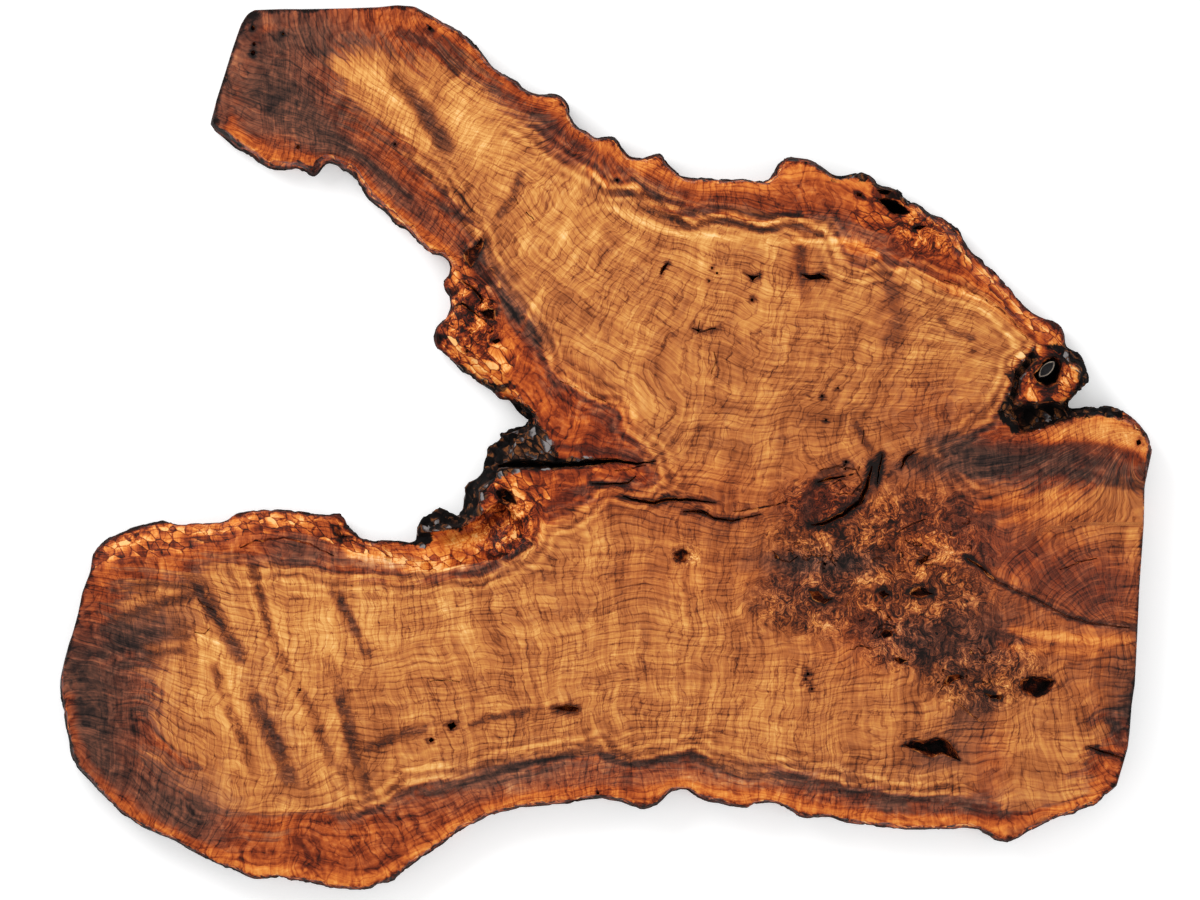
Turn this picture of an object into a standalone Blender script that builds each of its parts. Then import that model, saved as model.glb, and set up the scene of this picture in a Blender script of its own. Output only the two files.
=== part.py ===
"""A live edge walnut slab: one sawn board of root wood, lying flat on its underside.

Metres, Z up. The plan was read off a photograph taken straight down on the slab, at one
millimetre to the pixel, so each place below is a pixel of that photograph (x to the right,
y downwards), and `plan` turns it into metres about the slab's middle.

The slab is a loop of edge points drawn up through a few levels, each drawn in a little by the
kind of edge it belongs to. The broad bark slopes, the hollows and the cracks are then cut out.
"""

import bmesh
import bpy
from mathutils import Vector, noise

MIDDLE_X, MIDDLE_Y = 606.5, 447.9
THICK = 50.0
MM = 0.001

# Heights in millimetres at which the edge has a loop of points. WIDEST is where it stands
# furthest out, and there it follows the outline exactly.
LEVELS = (0.0, 6.0, 15.0, 27.0, 38.0, 46.5, THICK)
WIDEST = 15.0

# How each kind of edge runs, in millimetres: `tuck` draws the foot in, `lean` draws the upper
# arris in, and `rough` is the depth of the ridges and hollows between them.
KINDS = {
    "sawn": {"tuck": 0.6, "lean": 1.0, "rough": 0.5},
    "live": {"tuck": 4.0, "lean": 4.0, "rough": 2.2},
    "rolled": {"tuck": 5.0, "lean": 8.5, "rough": 2.4},
    "bark": {"tuck": 4.0, "lean": 3.0, "rough": 2.6},
}

# The outline, clockwise in the photograph, one stretch for each kind of edge it passes.
OUTLINE = (
    ("sawn", (  # the arm's far end
        (209, 123), (215, 101), (223, 76), (232, 47), (240, 24), (246, 14), (253, 9),
        (280, 8), (307, 8), (353, 7), (379, 6), (397, 4), (414, 5),
    )),
    ("live", (  # the upper edge of the arm, up to the first knob
        (425, 11), (438, 17), (447, 23), (460, 29), (469, 37), (477, 44), (484, 54),
        (492, 64), (503, 72), (511, 77), (518, 80), (522, 86), (533, 92), (542, 93),
        (550, 92), (558, 93), (564, 97), (569, 104), (571, 116), (577, 124), (587, 130),
        (596, 137), (605, 135), (614, 135), (620, 141), (626, 151), (631, 156), (643, 157),
        (652, 154), (659, 152), (664, 153), (666, 159), (669, 164), (678, 171), (682, 175),
        (692, 177), (701, 176), (713, 177), (728, 178), (739, 178), (750, 177), (757, 179),
        (766, 180), (771, 176), (774, 170), (780, 160), (785, 157), (791, 155), (800, 157),
        (809, 158), (818, 162), (826, 168), (833, 174), (843, 175), (852, 173), (862, 170),
        (869, 172), (875, 177), (879, 184), (890, 186), (899, 188), (905, 193), (911, 200),
    )),
    ("live", (  # the long slope down to the knot
        (919, 203), (925, 207), (930, 213), (942, 216), (951, 220), (957, 225), (962, 231),
        (966, 241), (971, 249), (976, 255), (982, 257), (988, 264), (1000, 274), (1010, 286),
        (1018, 296), (1027, 307), (1036, 314), (1045, 318), (1054, 320), (1062, 325),
        (1066, 334), (1067, 347),
    )),
    ("bark", (  # the knot's lobe and the inlet below it
        (1072, 349), (1080, 351), (1084, 358), (1088, 367), (1091, 378), (1090, 383),
        (1082, 391), (1075, 399), (1067, 404), (1065, 407), (1070, 408),
    )),
    ("bark", (  # the bark along the wing's shoulder
        (1081, 407), (1094, 405), (1107, 405), (1119, 407), (1127, 412), (1134, 417),
        (1141, 424), (1149, 434), (1153, 443), (1154, 450), (1151, 464), (1148, 478),
    )),
    ("sawn", (  # the right hand end
        (1146, 487), (1145, 523), (1143, 552), (1141, 581), (1139, 622), (1137, 665),
        (1136, 684), (1133, 704), (1131, 730), (1129, 748), (1124, 765), (1118, 787),
    )),
    ("live", (  # the lower edge, right to left
        (1107, 796), (1098, 806), (1081, 811), (1075, 816), (1062, 818), (1047, 824),
        (1032, 832), (1020, 840), (1010, 844), (998, 843), (989, 837), (978, 831),
        (964, 829), (952, 831), (933, 831), (906, 831), (875, 828), (845, 824), (830, 818),
        (814, 820), (799, 819), (790, 812), (783, 808), (773, 804), (756, 805), (747, 811),
        (731, 808), (721, 805), (707, 803), (696, 798), (689, 792), (681, 791), (670, 793),
        (663, 801), (655, 808), (643, 811), (632, 808), (621, 803), (600, 800), (586, 801),
        (569, 805), (545, 807), (520, 809), (490, 817), (474, 825), (460, 832), (446, 843),
        (430, 854), (412, 866), (400, 876), (396, 881), (389, 884), (380, 886), (373, 890), (359, 892),
        (336, 891), (324, 889), (313, 885), (302, 884), (289, 882), (278, 879), (267, 881),
        (255, 881), (246, 878), (235, 872), (226, 870), (214, 866), (203, 859), (186, 850),
        (169, 840), (160, 837), (140, 828), (121, 816), (107, 802), (95, 790), (84, 778),
        (74, 767), (69, 756), (67, 741), (63, 726), (61, 709), (58, 694), (59, 678),
    )),
    ("sawn", (  # the lobe's flat left side
        (63, 660), (68, 643), (71, 635), (77, 613), (81, 593), (89, 572), (91, 555),
    )),
    ("live", (  # the lobe's upper edge, into the notch
        (97, 546), (107, 537), (118, 532), (132, 527), (147, 523), (161, 520), (170, 521),
        (178, 523), (191, 523), (208, 523), (222, 522), (228, 519), (231, 515), (240, 512),
        (254, 510), (265, 509), (278, 509), (301, 511), (316, 513), (328, 515), (335, 512),
        (341, 513), (346, 519), (349, 528), (355, 531), (362, 538), (372, 540), (382, 539),
        (395, 540),
    )),
    ("bark", (  # the charred side of the notch
        (413, 543), (416, 536), (416, 528), (421, 518), (430, 510), (439, 506), (447, 510),
        (456, 514), (462, 512), (463, 500), (462, 490), (468, 482), (476, 479), (483, 471),
        (483, 463), (487, 454), (486, 446), (500, 440), (499, 432), (513, 427), (527, 425),
        (528, 419), (522, 416), (514, 408), (513, 402),
    )),
    ("live", (  # the broken knob inside the notch
        (500, 400), (490, 390), (478, 383), (467, 375), (459, 371), (453, 362), (446, 357),
        (436, 349), (432, 338), (435, 327), (444, 318), (450, 307), (449, 298), (444, 290),
        (442, 281), (449, 271), (449, 263), (443, 256), (429, 254), (423, 249),
    )),
    ("rolled", (  # the lower edge of the arm
        (414, 240), (405, 231), (394, 225), (383, 212), (367, 199), (358, 186), (355, 180),
        (347, 172), (341, 171), (335, 166), (329, 162), (322, 167), (319, 173), (313, 177),
        (304, 173), (298, 169), (281, 171), (267, 169), (258, 164), (249, 156), (234, 148),
        (223, 138), (214, 131),
    )),
)

# Slopes broader than an edge's own lean. Each goes from `crest`, on the show face, to `foot`,
# outside the outline, in pairs of points. It ends `drop` mm below the face, `bow` under 1 lets
# it fall away at once and over 1 holds it up first, and `rough` is its relief in millimetres.
SLOPES = {
    "slope_to_knot": {
        "drop": 30.0, "bow": 1.25, "rough": 3.2,
        "crest": (
            (905, 190), (908, 205), (921, 220), (938, 233), (947, 247), (956, 262),
            (966, 275), (980, 287), (994, 300), (1009, 316), (1026, 331), (1044, 344),
            (1058, 353), (1076, 352),
        ),
        "foot": (
            (908, 186), (917, 197), (932, 208), (952, 215), (965, 226), (974, 245),
            (988, 255), (1003, 270), (1014, 284), (1030, 303), (1046, 314), (1065, 320),
            (1073, 334), (1081, 347),
        ),
    },
    "knot_bark": {
        "drop": 24.0, "bow": 0.8, "rough": 3.0,
        "crest": (
            (1066, 346), (1061, 356), (1063, 364), (1076, 368), (1079, 378), (1075, 388),
            (1066, 396), (1060, 403),
        ),
        "foot": (
            (1073, 343), (1083, 347), (1090, 356), (1095, 367), (1097, 380), (1088, 393),
            (1078, 404), (1066, 405),
        ),
    },
    "wing_bark": {
        "drop": 26.0, "bow": 0.9, "rough": 2.2,
        "crest": (
            (1060, 408), (1066, 420), (1080, 417), (1098, 416), (1114, 418), (1124, 423),
            (1136, 429), (1146, 438), (1157, 448),
        ),
        "foot": (
            (1066, 405), (1073, 403), (1082, 401), (1095, 399), (1109, 399), (1123, 403),
            (1137, 413), (1149, 425), (1161, 446),
        ),
    },
    "lobe_shoulder": {
        "drop": 27.0, "bow": 1.3, "rough": 3.4,
        "crest": (
            (86, 578), (101, 567), (120, 562), (142, 560), (164, 556), (186, 551),
            (206, 547), (228, 545), (243, 541), (262, 536), (286, 535), (308, 537),
            (326, 544), (340, 554), (359, 556), (378, 559), (396, 563),
        ),
        "foot": (
            (82, 572), (86, 553), (98, 538), (117, 526), (146, 517), (170, 515),
            (192, 517), (214, 516), (229, 509), (252, 504), (279, 503), (304, 505),
            (330, 506), (350, 516), (360, 528), (378, 533), (396, 534),
        ),
    },
    "notch_scoop": {
        "drop": 30.0, "bow": 0.75, "rough": 2.0,
        "crest": (
            (384, 562), (398, 563), (412, 570), (428, 572), (446, 570), (464, 566),
            (482, 563), (500, 560), (516, 553), (526, 540), (524, 524),
        ),
        "foot": (
            (386, 536), (396, 536), (408, 539), (421, 533), (436, 532), (450, 530),
            (463, 528), (474, 522), (484, 514), (492, 508), (500, 502),
        ),
    },
    "notch_bark": {
        "drop": 34.0, "bow": 0.6, "rough": 5.0,
        "crest": (
            (407, 548), (429, 545), (433, 533), (449, 531), (462, 533), (473, 521),
            (481, 506), (480, 494), (492, 482), (500, 472), (512, 462), (515, 450),
            (516, 440), (527, 434), (541, 424), (537, 414), (527, 404), (510, 396),
        ),
        "foot": (
            (406, 538), (410, 530), (416, 512), (432, 501), (450, 505), (458, 505),
            (457, 496), (458, 484), (470, 474), (477, 464), (480, 452), (482, 444),
            (494, 432), (505, 425), (520, 421), (518, 418), (509, 410), (506, 402),
        ),
    },
    "broken_knob": {
        "drop": 26.0, "bow": 1.0, "rough": 4.0,
        "crest": (
            (438, 250), (457, 262), (464, 275), (466, 288), (464, 300), (463, 312),
            (461, 324), (460, 336), (464, 347), (477, 356), (492, 366), (506, 375),
            (517, 385), (524, 397), (522, 409),
        ),
        "foot": (
            (437, 247), (441, 263), (437, 275), (436, 288), (441, 301), (438, 314),
            (429, 324), (425, 338), (431, 353), (444, 364), (457, 377), (474, 388),
            (487, 398), (503, 406), (514, 414),
        ),
    },
}

# Hollows, each with the depth in millimetres and its rim.
HOLLOWS = {
    "knot_hole": (30, (
        (1054, 356), (1043, 362), (1040, 369), (1033, 375), (1038, 382), (1048, 387),
        (1057, 383), (1061, 372), (1062, 362),
    )),
    "rim_hollow": (38, (
        (878, 199), (887, 198), (892, 200), (899, 204), (911, 212), (904, 215), (893, 214),
        (885, 206),
    )),
    "rim_pocket": (15, ((876, 190), (885, 189), (892, 191), (889, 195), (880, 194))),
    "rim_slot": (10, ((912, 229), (918, 225), (926, 226), (920, 230))),
    "rim_hole": (10, ((857, 192), (862, 193), (862, 197), (857, 196))),
    "charred_inlet": (24, (
        (1068, 406), (1052, 401), (1034, 405), (1018, 404), (1009, 410), (1013, 421),
        (1022, 433), (1036, 428), (1052, 424), (1070, 419),
    )),
    "bark_pocket": (9, (
        (1034, 348), (1022, 364), (1015, 371), (1012, 386), (1008, 399), (1013, 405),
        (1018, 393), (1019, 379), (1025, 371), (1036, 358),
    )),
    "eye": (16, ((495, 492), (505, 488), (514, 496), (517, 504), (507, 503), (498, 498))),
    "arm_eye": (7, (
        (481, 238), (475, 247), (464, 252), (464, 258), (471, 267), (477, 257), (484, 243),
    )),
    "knob_hollow": (12, ((480, 312), (488, 308), (494, 309), (495, 321), (488, 318))),
    "knob_hole": (10, ((450, 291), (457, 287), (458, 291), (453, 295))),
    "knob_slot": (8, ((491, 341), (498, 338), (501, 341), (495, 344))),
    "upper_void": (18, ((743, 272), (751, 276), (760, 275), (753, 281))),
    "upper_slit": (16, ((801, 274), (812, 275), (820, 273), (829, 279), (817, 280), (808, 279))),
    "knot_pit": (8, ((674, 553), (683, 549), (690, 554), (685, 562), (677, 560))),
    "long_void": (20, (
        (903, 745), (914, 741), (922, 743), (931, 740), (941, 738), (950, 744), (956, 752),
        (960, 761), (951, 757), (942, 753), (932, 757), (922, 752), (912, 749),
    )),
    "right_void": (18, (
        (1021, 681), (1030, 677), (1043, 678), (1054, 681), (1049, 691), (1037, 697),
        (1022, 690),
    )),
    "right_curl": (9, ((984, 692), (991, 695), (1003, 696), (1001, 700), (990, 698))),
    "burl_hollow": (9, ((809, 591), (818, 592), (824, 598), (832, 599), (824, 604), (813, 599))),
    "burl_pocket": (9, ((880, 634), (885, 629), (892, 631), (893, 636), (884, 638))),
    "burl_slot": (10, ((910, 592), (919, 587), (928, 591), (934, 594), (922, 596), (912, 596))),
    "burl_hole": (9, ((918, 561), (925, 556), (930, 555), (927, 561), (921, 565))),
    "left_void": (16, ((446, 725), (454, 722), (457, 726), (451, 731))),
    "worm_hole": (20, ((428, 740), (431, 737), (434, 740), (431, 743))),
    "left_slit": (12, ((553, 708), (566, 705), (579, 708), (577, 712), (564, 711))),
    "wing_hole": (12, ((1136, 441), (1140, 439), (1142, 443), (1138, 446))),
    "lobe_hole": (14, ((333, 526), (338, 527), (342, 536), (352, 537), (341, 541), (334, 534))),
}

# Cracks, each with its depth in millimetres and its run as (x, y, width).
CRACKS = {
    "bark_crack": (32, (
        (498, 466, 6), (514, 464, 8), (532, 464, 8), (552, 465, 6), (574, 464, 5),
        (590, 463, 6), (604, 461, 5), (620, 461, 3), (636, 464, 2), (656, 461, 0.6),
    )),
    "lower_crack": (10, ((592, 484, 0.6), (612, 484, 1.6), (628, 483, 1.6), (636, 476, 0.6))),
    "middle_crack": (14, (
        (622, 496, 0.6), (640, 501, 2.4), (654, 503, 3.2), (668, 499, 3), (690, 500, 2.2),
        (716, 503, 0.6),
    )),
    "middle_split": (10, ((683, 512, 1), (700, 511, 3), (714, 518, 2), (732, 521, 1.6), (761, 514, 0.6))),
    "burl_crack": (16, (
        (811, 525, 0.8), (822, 524, 3), (842, 515, 4), (860, 502, 4.5), (867, 486, 4),
        (872, 466, 1),
    )),
    "burl_rift": (10, ((818, 482, 0.8), (829, 479, 3), (846, 476, 0.8))),
    "top_rift": (12, ((901, 469, 1), (905, 458, 3.2), (914, 451, 0.8))),
    "top_split": (12, ((877, 484, 0.6), (880, 467, 1.6), (882, 453, 0.6))),
    "star": (10, ((661, 275, 1), (663, 269, 3.4), (668, 263, 0.8))),
    "knob_crack": (10, ((462, 281, 0.8), (473, 288, 2.2), (483, 299, 2.6), (480, 304, 0.6))),
    "knob_rift": (10, ((453, 308, 0.8), (462, 303, 2), (470, 309, 1.6), (480, 318, 0.6))),
    "rim_crack": (6, ((1088, 747, 0.6), (1104, 752, 1.6), (1122, 758, 0.8))),
    "right_crack": (7, ((967, 558, 0.6), (982, 568, 1.6), (994, 580, 0.8))),
}

# The one place where a hollow breaks out through the underside.
BREAKTHROUGH = ((891, 203), (895, 200), (899, 204), (895, 207))


def plan(x, y, height=0.0):
    """A pixel of the photograph, and a height in millimetres, in metres."""
    return Vector(((x - MIDDLE_X) * MM, (MIDDLE_Y - y) * MM, height * MM))


def ridges(x, y, height, length=30.0, rise=11.0):
    """Relief from about -1 to 1, in ridges longer in plan than they are high."""
    broad = noise.noise(Vector((x / length, y / length, height / rise)))
    fine = noise.noise(Vector((x / 11.0 + 7.0, y / 11.0, height / 6.0 + 3.0)))
    return 1.3 * broad + 0.6 * fine


def outline_points():
    """Every point of the outline with the settings of its edge, evened where kinds meet."""
    places, settings = [], []
    for kind, points in OUTLINE:
        for place in points:
            places.append(Vector(place))
            settings.append(KINDS[kind])
    count = len(places)
    evened = []
    for i in range(count):
        near = [settings[(i + j) % count] for j in (-1, 0, 1)]
        evened.append({name: sum(one[name] for one in near) / 3 for name in settings[i]})
    return places, evened


def inward(places):
    """The direction into the wood at each point, taken over its neighbours."""
    count = len(places)
    found = []
    for i in range(count):
        along = places[(i + 1) % count] - places[i - 1]
        wider = places[(i + 2) % count] - places[i - 2]
        along = along.normalized() * 0.7 + wider.normalized() * 0.3
        found.append(Vector((-along.y, along.x)).normalized())
    return found


def drawn_in(setting, place, height):
    """How far in from the outline the edge stands at this height, in millimetres."""
    if height == WIDEST:
        return 0.0
    relief = setting["rough"] * max(0.0, 0.45 + 0.55 * ridges(place.x, place.y, height))
    if height < WIDEST:
        low = 1.0 - height / WIDEST
        return setting["tuck"] * low**1.5 + relief * 0.6
    high = (height - WIDEST) / (THICK - WIDEST)
    return setting["lean"] * high**1.8 + relief * (1.0 - 0.5 * high)


def edge_loop(mesh, places, settings, directions, height):
    loop = []
    for place, setting, direction in zip(places, settings, directions):
        spot = place + direction * drawn_in(setting, place, height)
        loop.append(mesh.verts.new(plan(spot.x, spot.y, height)))
    return loop


def join_loops(mesh, lower, upper):
    for i, corner in enumerate(lower):
        after = (i + 1) % len(lower)
        mesh.faces.new((corner, lower[after], upper[after], upper[i]))


def finish(mesh, name, collection, cutter=False):
    """Turns the faces outward, triangulates them and puts the mesh in an object."""
    bmesh.ops.triangulate(mesh, faces=mesh.faces[:])
    bmesh.ops.recalc_face_normals(mesh, faces=mesh.faces[:])
    data = bpy.data.meshes.new(name)
    mesh.to_mesh(data)
    mesh.free()
    made = bpy.data.objects.new(name, data)
    collection.objects.link(made)
    if cutter:
        made.hide_render = True
        made.display_type = "WIRE"
    return made


def make_board(collection):
    mesh = bmesh.new()
    places, settings = outline_points()
    directions = inward(places)
    loops = [edge_loop(mesh, places, settings, directions, height) for height in LEVELS]
    for lower, upper in zip(loops, loops[1:]):
        join_loops(mesh, lower, upper)
    mesh.faces.new(loops[0])
    mesh.faces.new(loops[-1])
    return finish(mesh, "slab", collection)


def loft_with_lid(mesh, rows):
    """Closes a sheet of rows into a body by lifting a copy of it above the show face."""
    grid = [[mesh.verts.new(plan(*place)) for place in row] for row in rows]
    for near, far in zip(grid, grid[1:]):
        for i in range(len(near) - 1):
            mesh.faces.new((near[i], near[i + 1], far[i + 1], far[i]))
    lifted = bmesh.ops.extrude_face_region(mesh, geom=mesh.faces[:])
    for element in lifted["geom"]:
        if isinstance(element, bmesh.types.BMVert):
            element.co.z = (THICK + 12.0) * MM


def make_slope(name, slope, collection, steps=5):
    mesh = bmesh.new()
    rows = []
    for step in range(steps + 1):
        part = step / steps
        row = []
        for crest, foot in zip(slope["crest"], slope["foot"]):
            x = crest[0] + (foot[0] - crest[0]) * part
            y = crest[1] + (foot[1] - crest[1]) * part
            relief = slope["rough"] * ridges(x * 1.6, y * 1.6, 40.0 * part) if step else 0.0
            height = THICK + 0.4 - slope["drop"] * part ** slope["bow"] - relief * part**0.4
            row.append((x, y, max(height, 4.0)))
        rows.append(row)
    loft_with_lid(mesh, rows)
    return finish(mesh, name, collection, cutter=True)


def make_hollow(name, depth, rim, collection, floor=None):
    """A hollow that narrows towards its floor, off the middle a little as it goes down."""
    mesh = bmesh.new()
    middle = sum((Vector(place) for place in rim), Vector((0.0, 0.0))) / len(rim)
    lean = 0.04 * depth * noise.noise(Vector((middle.x / 9.0, middle.y / 9.0, 1.0)))
    loops = []
    for height, size in ((THICK + 3.0, 1.05), (THICK - depth * 0.4, 0.9), (THICK - depth, 0.55)):
        if floor is not None:
            size = 1.0
        loop = []
        for place in rim:
            spot = middle + (Vector(place) - middle) * size
            spot.x += lean * (THICK - height) / depth
            loop.append(mesh.verts.new(plan(spot.x, spot.y, height)))
        loops.append(loop)
    for upper, lower in zip(loops, loops[1:]):
        join_loops(mesh, lower, upper)
    mesh.faces.new(loops[0])
    mesh.faces.new(loops[-1])
    return finish(mesh, name, collection, cutter=True)


def make_crack(name, depth, run, collection):
    """A wedge along the run, as deep as the crack is wide there, up to `depth`."""
    mesh = bmesh.new()
    widest = max(width for _, _, width in run)
    sections = []
    for i, (x, y, width) in enumerate(run):
        before, after = run[max(i - 1, 0)], run[min(i + 1, len(run) - 1)]
        along = Vector((after[0] - before[0], after[1] - before[1])).normalized()
        across = Vector((-along.y, along.x)) * (width / 2)
        bottom = THICK - depth * (0.25 + 0.75 * width / widest)
        sections.append([
            mesh.verts.new(plan(x + across.x, y + across.y, THICK + 3.0)),
            mesh.verts.new(plan(x - across.x, y - across.y, THICK + 3.0)),
            mesh.verts.new(plan(x - across.x * 0.8, y - across.y * 0.8, THICK - 1.0)),
            mesh.verts.new(plan(x + across.x * 0.3, y + across.y * 0.3, bottom)),
            mesh.verts.new(plan(x + across.x * 0.8, y + across.y * 0.8, THICK - 1.0)),
        ])
    for near, far in zip(sections, sections[1:]):
        for i in range(5):
            after = (i + 1) % 5
            mesh.faces.new((near[i], near[after], far[after], far[i]))
    mesh.faces.new(sections[0])
    mesh.faces.new(sections[-1])
    return finish(mesh, name, collection, cutter=True)


def walnut():
    """Oiled walnut: its own colour, and the soft shine of a wiped oil finish."""
    material = bpy.data.materials.new("oiled walnut")
    material.use_nodes = True
    surface = material.node_tree.nodes["Principled BSDF"]
    surface.inputs["Base Color"].default_value = (0.36, 0.16, 0.06, 1.0)
    surface.inputs["Roughness"].default_value = 0.45
    return material


def cut(board, collection, name):
    modifier = board.modifiers.new(name, "BOOLEAN")
    modifier.operation = "DIFFERENCE"
    modifier.solver = "EXACT"
    modifier.operand_type = "COLLECTION"
    modifier.collection = collection


def new_collection(name, hidden=False):
    made = bpy.data.collections.new(name)
    bpy.context.scene.collection.children.link(made)
    made.hide_render = hidden
    return made


def main():
    for old in list(bpy.data.objects):
        bpy.data.objects.remove(old, do_unlink=True)
    parts = new_collection("live_edge_walnut_slab")
    slopes = new_collection("slope_cutters", hidden=True)
    hollows = new_collection("hollow_cutters", hidden=True)

    board = make_board(parts)
    board.data.materials.append(walnut())
    for name, slope in SLOPES.items():
        make_slope(name, slope, slopes)
    for name, (depth, rim) in HOLLOWS.items():
        make_hollow(name, depth, rim, hollows)
    make_hollow("breakthrough", THICK + 6.0, BREAKTHROUGH, hollows, floor=0.0)
    for name, (depth, run) in CRACKS.items():
        make_crack(name, depth, run, hollows)
    cut(board, slopes, "broad slopes")
    cut(board, hollows, "hollows and cracks")


main()
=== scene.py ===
"""The live edge walnut slab as it looks: relief, grain, bark, hollows, studio.

Places are pixels of the photograph, x to the right and y downwards. A pixel is one millimetre,
as in the slab's construction.
"""

import functools
import math
import random

import bmesh
import bpy
import numpy as np
from mathutils import Matrix, Vector, noise
from mathutils.bvhtree import BVHTree


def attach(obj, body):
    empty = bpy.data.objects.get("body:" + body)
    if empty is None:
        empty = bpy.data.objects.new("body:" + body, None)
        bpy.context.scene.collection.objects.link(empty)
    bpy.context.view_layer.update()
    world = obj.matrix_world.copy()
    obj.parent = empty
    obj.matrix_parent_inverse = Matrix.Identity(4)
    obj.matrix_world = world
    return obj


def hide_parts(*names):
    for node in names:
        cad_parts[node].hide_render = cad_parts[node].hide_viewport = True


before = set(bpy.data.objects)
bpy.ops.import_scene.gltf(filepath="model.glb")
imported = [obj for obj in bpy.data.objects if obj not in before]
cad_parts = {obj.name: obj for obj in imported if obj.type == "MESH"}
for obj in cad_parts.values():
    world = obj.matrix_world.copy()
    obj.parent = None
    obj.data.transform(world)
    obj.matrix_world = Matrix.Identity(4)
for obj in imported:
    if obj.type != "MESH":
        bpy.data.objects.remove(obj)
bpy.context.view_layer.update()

PHOTO_WIDTH, PHOTO_HEIGHT = 1200, 900
MIDDLE_X, MIDDLE_Y = 606.5, 447.9  # the slab's middle
MM = 0.001

# In millimetres.
THICK = 50.0
VOXEL = 3.45  # between the fine mesh's points
CELL = 4.0  # between the points of the grain fields' grid
CHIP, SPLINTER = 16.0, 8.0  # between the large and the small chips of a rough edge
CHIP_DEPTH, SPLINTER_DEPTH = 2.1, 1.5
ACROSS = 290.0  # the rise of the ring field over each of the two stems
LINE_DEPTH = 2.2  # of the thin lines
RIM_REACH = 34.0  # how far in the rim's field looks

# The seam where the arm's stem and the lobe's stem grew into each other, notch to inlet.
SEAM = (
    (505, 466), (552, 465), (604, 462), (650, 482), (700, 503), (760, 514), (815, 524),
    (850, 510), (872, 478), (905, 456), (950, 446), (1000, 432), (1022, 432), (1066, 407),
)

# The line between the pale inner wood and the red outer wood.
HEART = (
    (352, 44), (400, 58), (440, 62), (464, 67), (476, 86), (492, 101), (510, 116),
    (532, 127), (547, 139), (568, 159), (591, 168), (609, 185), (633, 182), (643, 191),
    (658, 200), (679, 205), (692, 214), (722, 210), (744, 214), (765, 222), (783, 218),
    (800, 219), (810, 228), (827, 221), (834, 236), (842, 258), (862, 268), (884, 262),
    (901, 266), (913, 266), (928, 275), (944, 281), (967, 289), (982, 297), (996, 306),
    (1003, 312), (1018, 325), (1030, 341), (1032, 352), (1016, 366), (1010, 382),
    (1000, 402), (990, 420), (969, 434), (949, 448), (960, 470), (976, 486), (1000, 489),
    (1050, 488), (1100, 484), (1164, 482), (1164, 690),
    (1120, 706), (1102, 712), (1107, 738), (1096, 755), (1087, 770),
    (1070, 784), (1055, 796), (1026, 808), (1007, 811), (990, 796), (944, 797),
    (921, 798), (887, 795), (860, 788), (833, 778), (814, 779), (794, 773), (774, 773),
    (748, 775), (730, 767), (715, 764), (702, 756), (689, 748), (676, 753), (652, 758),
    (632, 761), (610, 756), (600, 748), (560, 754), (517, 764), (459, 779), (413, 783),
    (375, 806), (344, 812), (314, 800), (287, 802), (268, 813), (230, 810), (190, 790),
    (162, 752), (154, 712), (156, 672), (142, 640), (124, 612), (126, 593), (147, 584),
    (185, 576), (208, 563), (224, 561), (247, 572), (280, 566), (320, 572), (380, 577),
    (440, 577), (480, 575), (512, 562), (534, 548), (540, 524), (570, 516), (590, 500),
    (600, 487), (640, 492), (664, 480), (655, 462), (640, 446), (622, 430), (620, 408),
    (596, 402), (576, 391), (553, 378), (538, 340), (526, 322), (516, 309), (500, 290),
    (486, 268), (478, 240), (462, 214), (446, 190), (424, 168), (402, 142), (372, 122),
    (348, 104), (334, 80), (336, 58),
)

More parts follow.
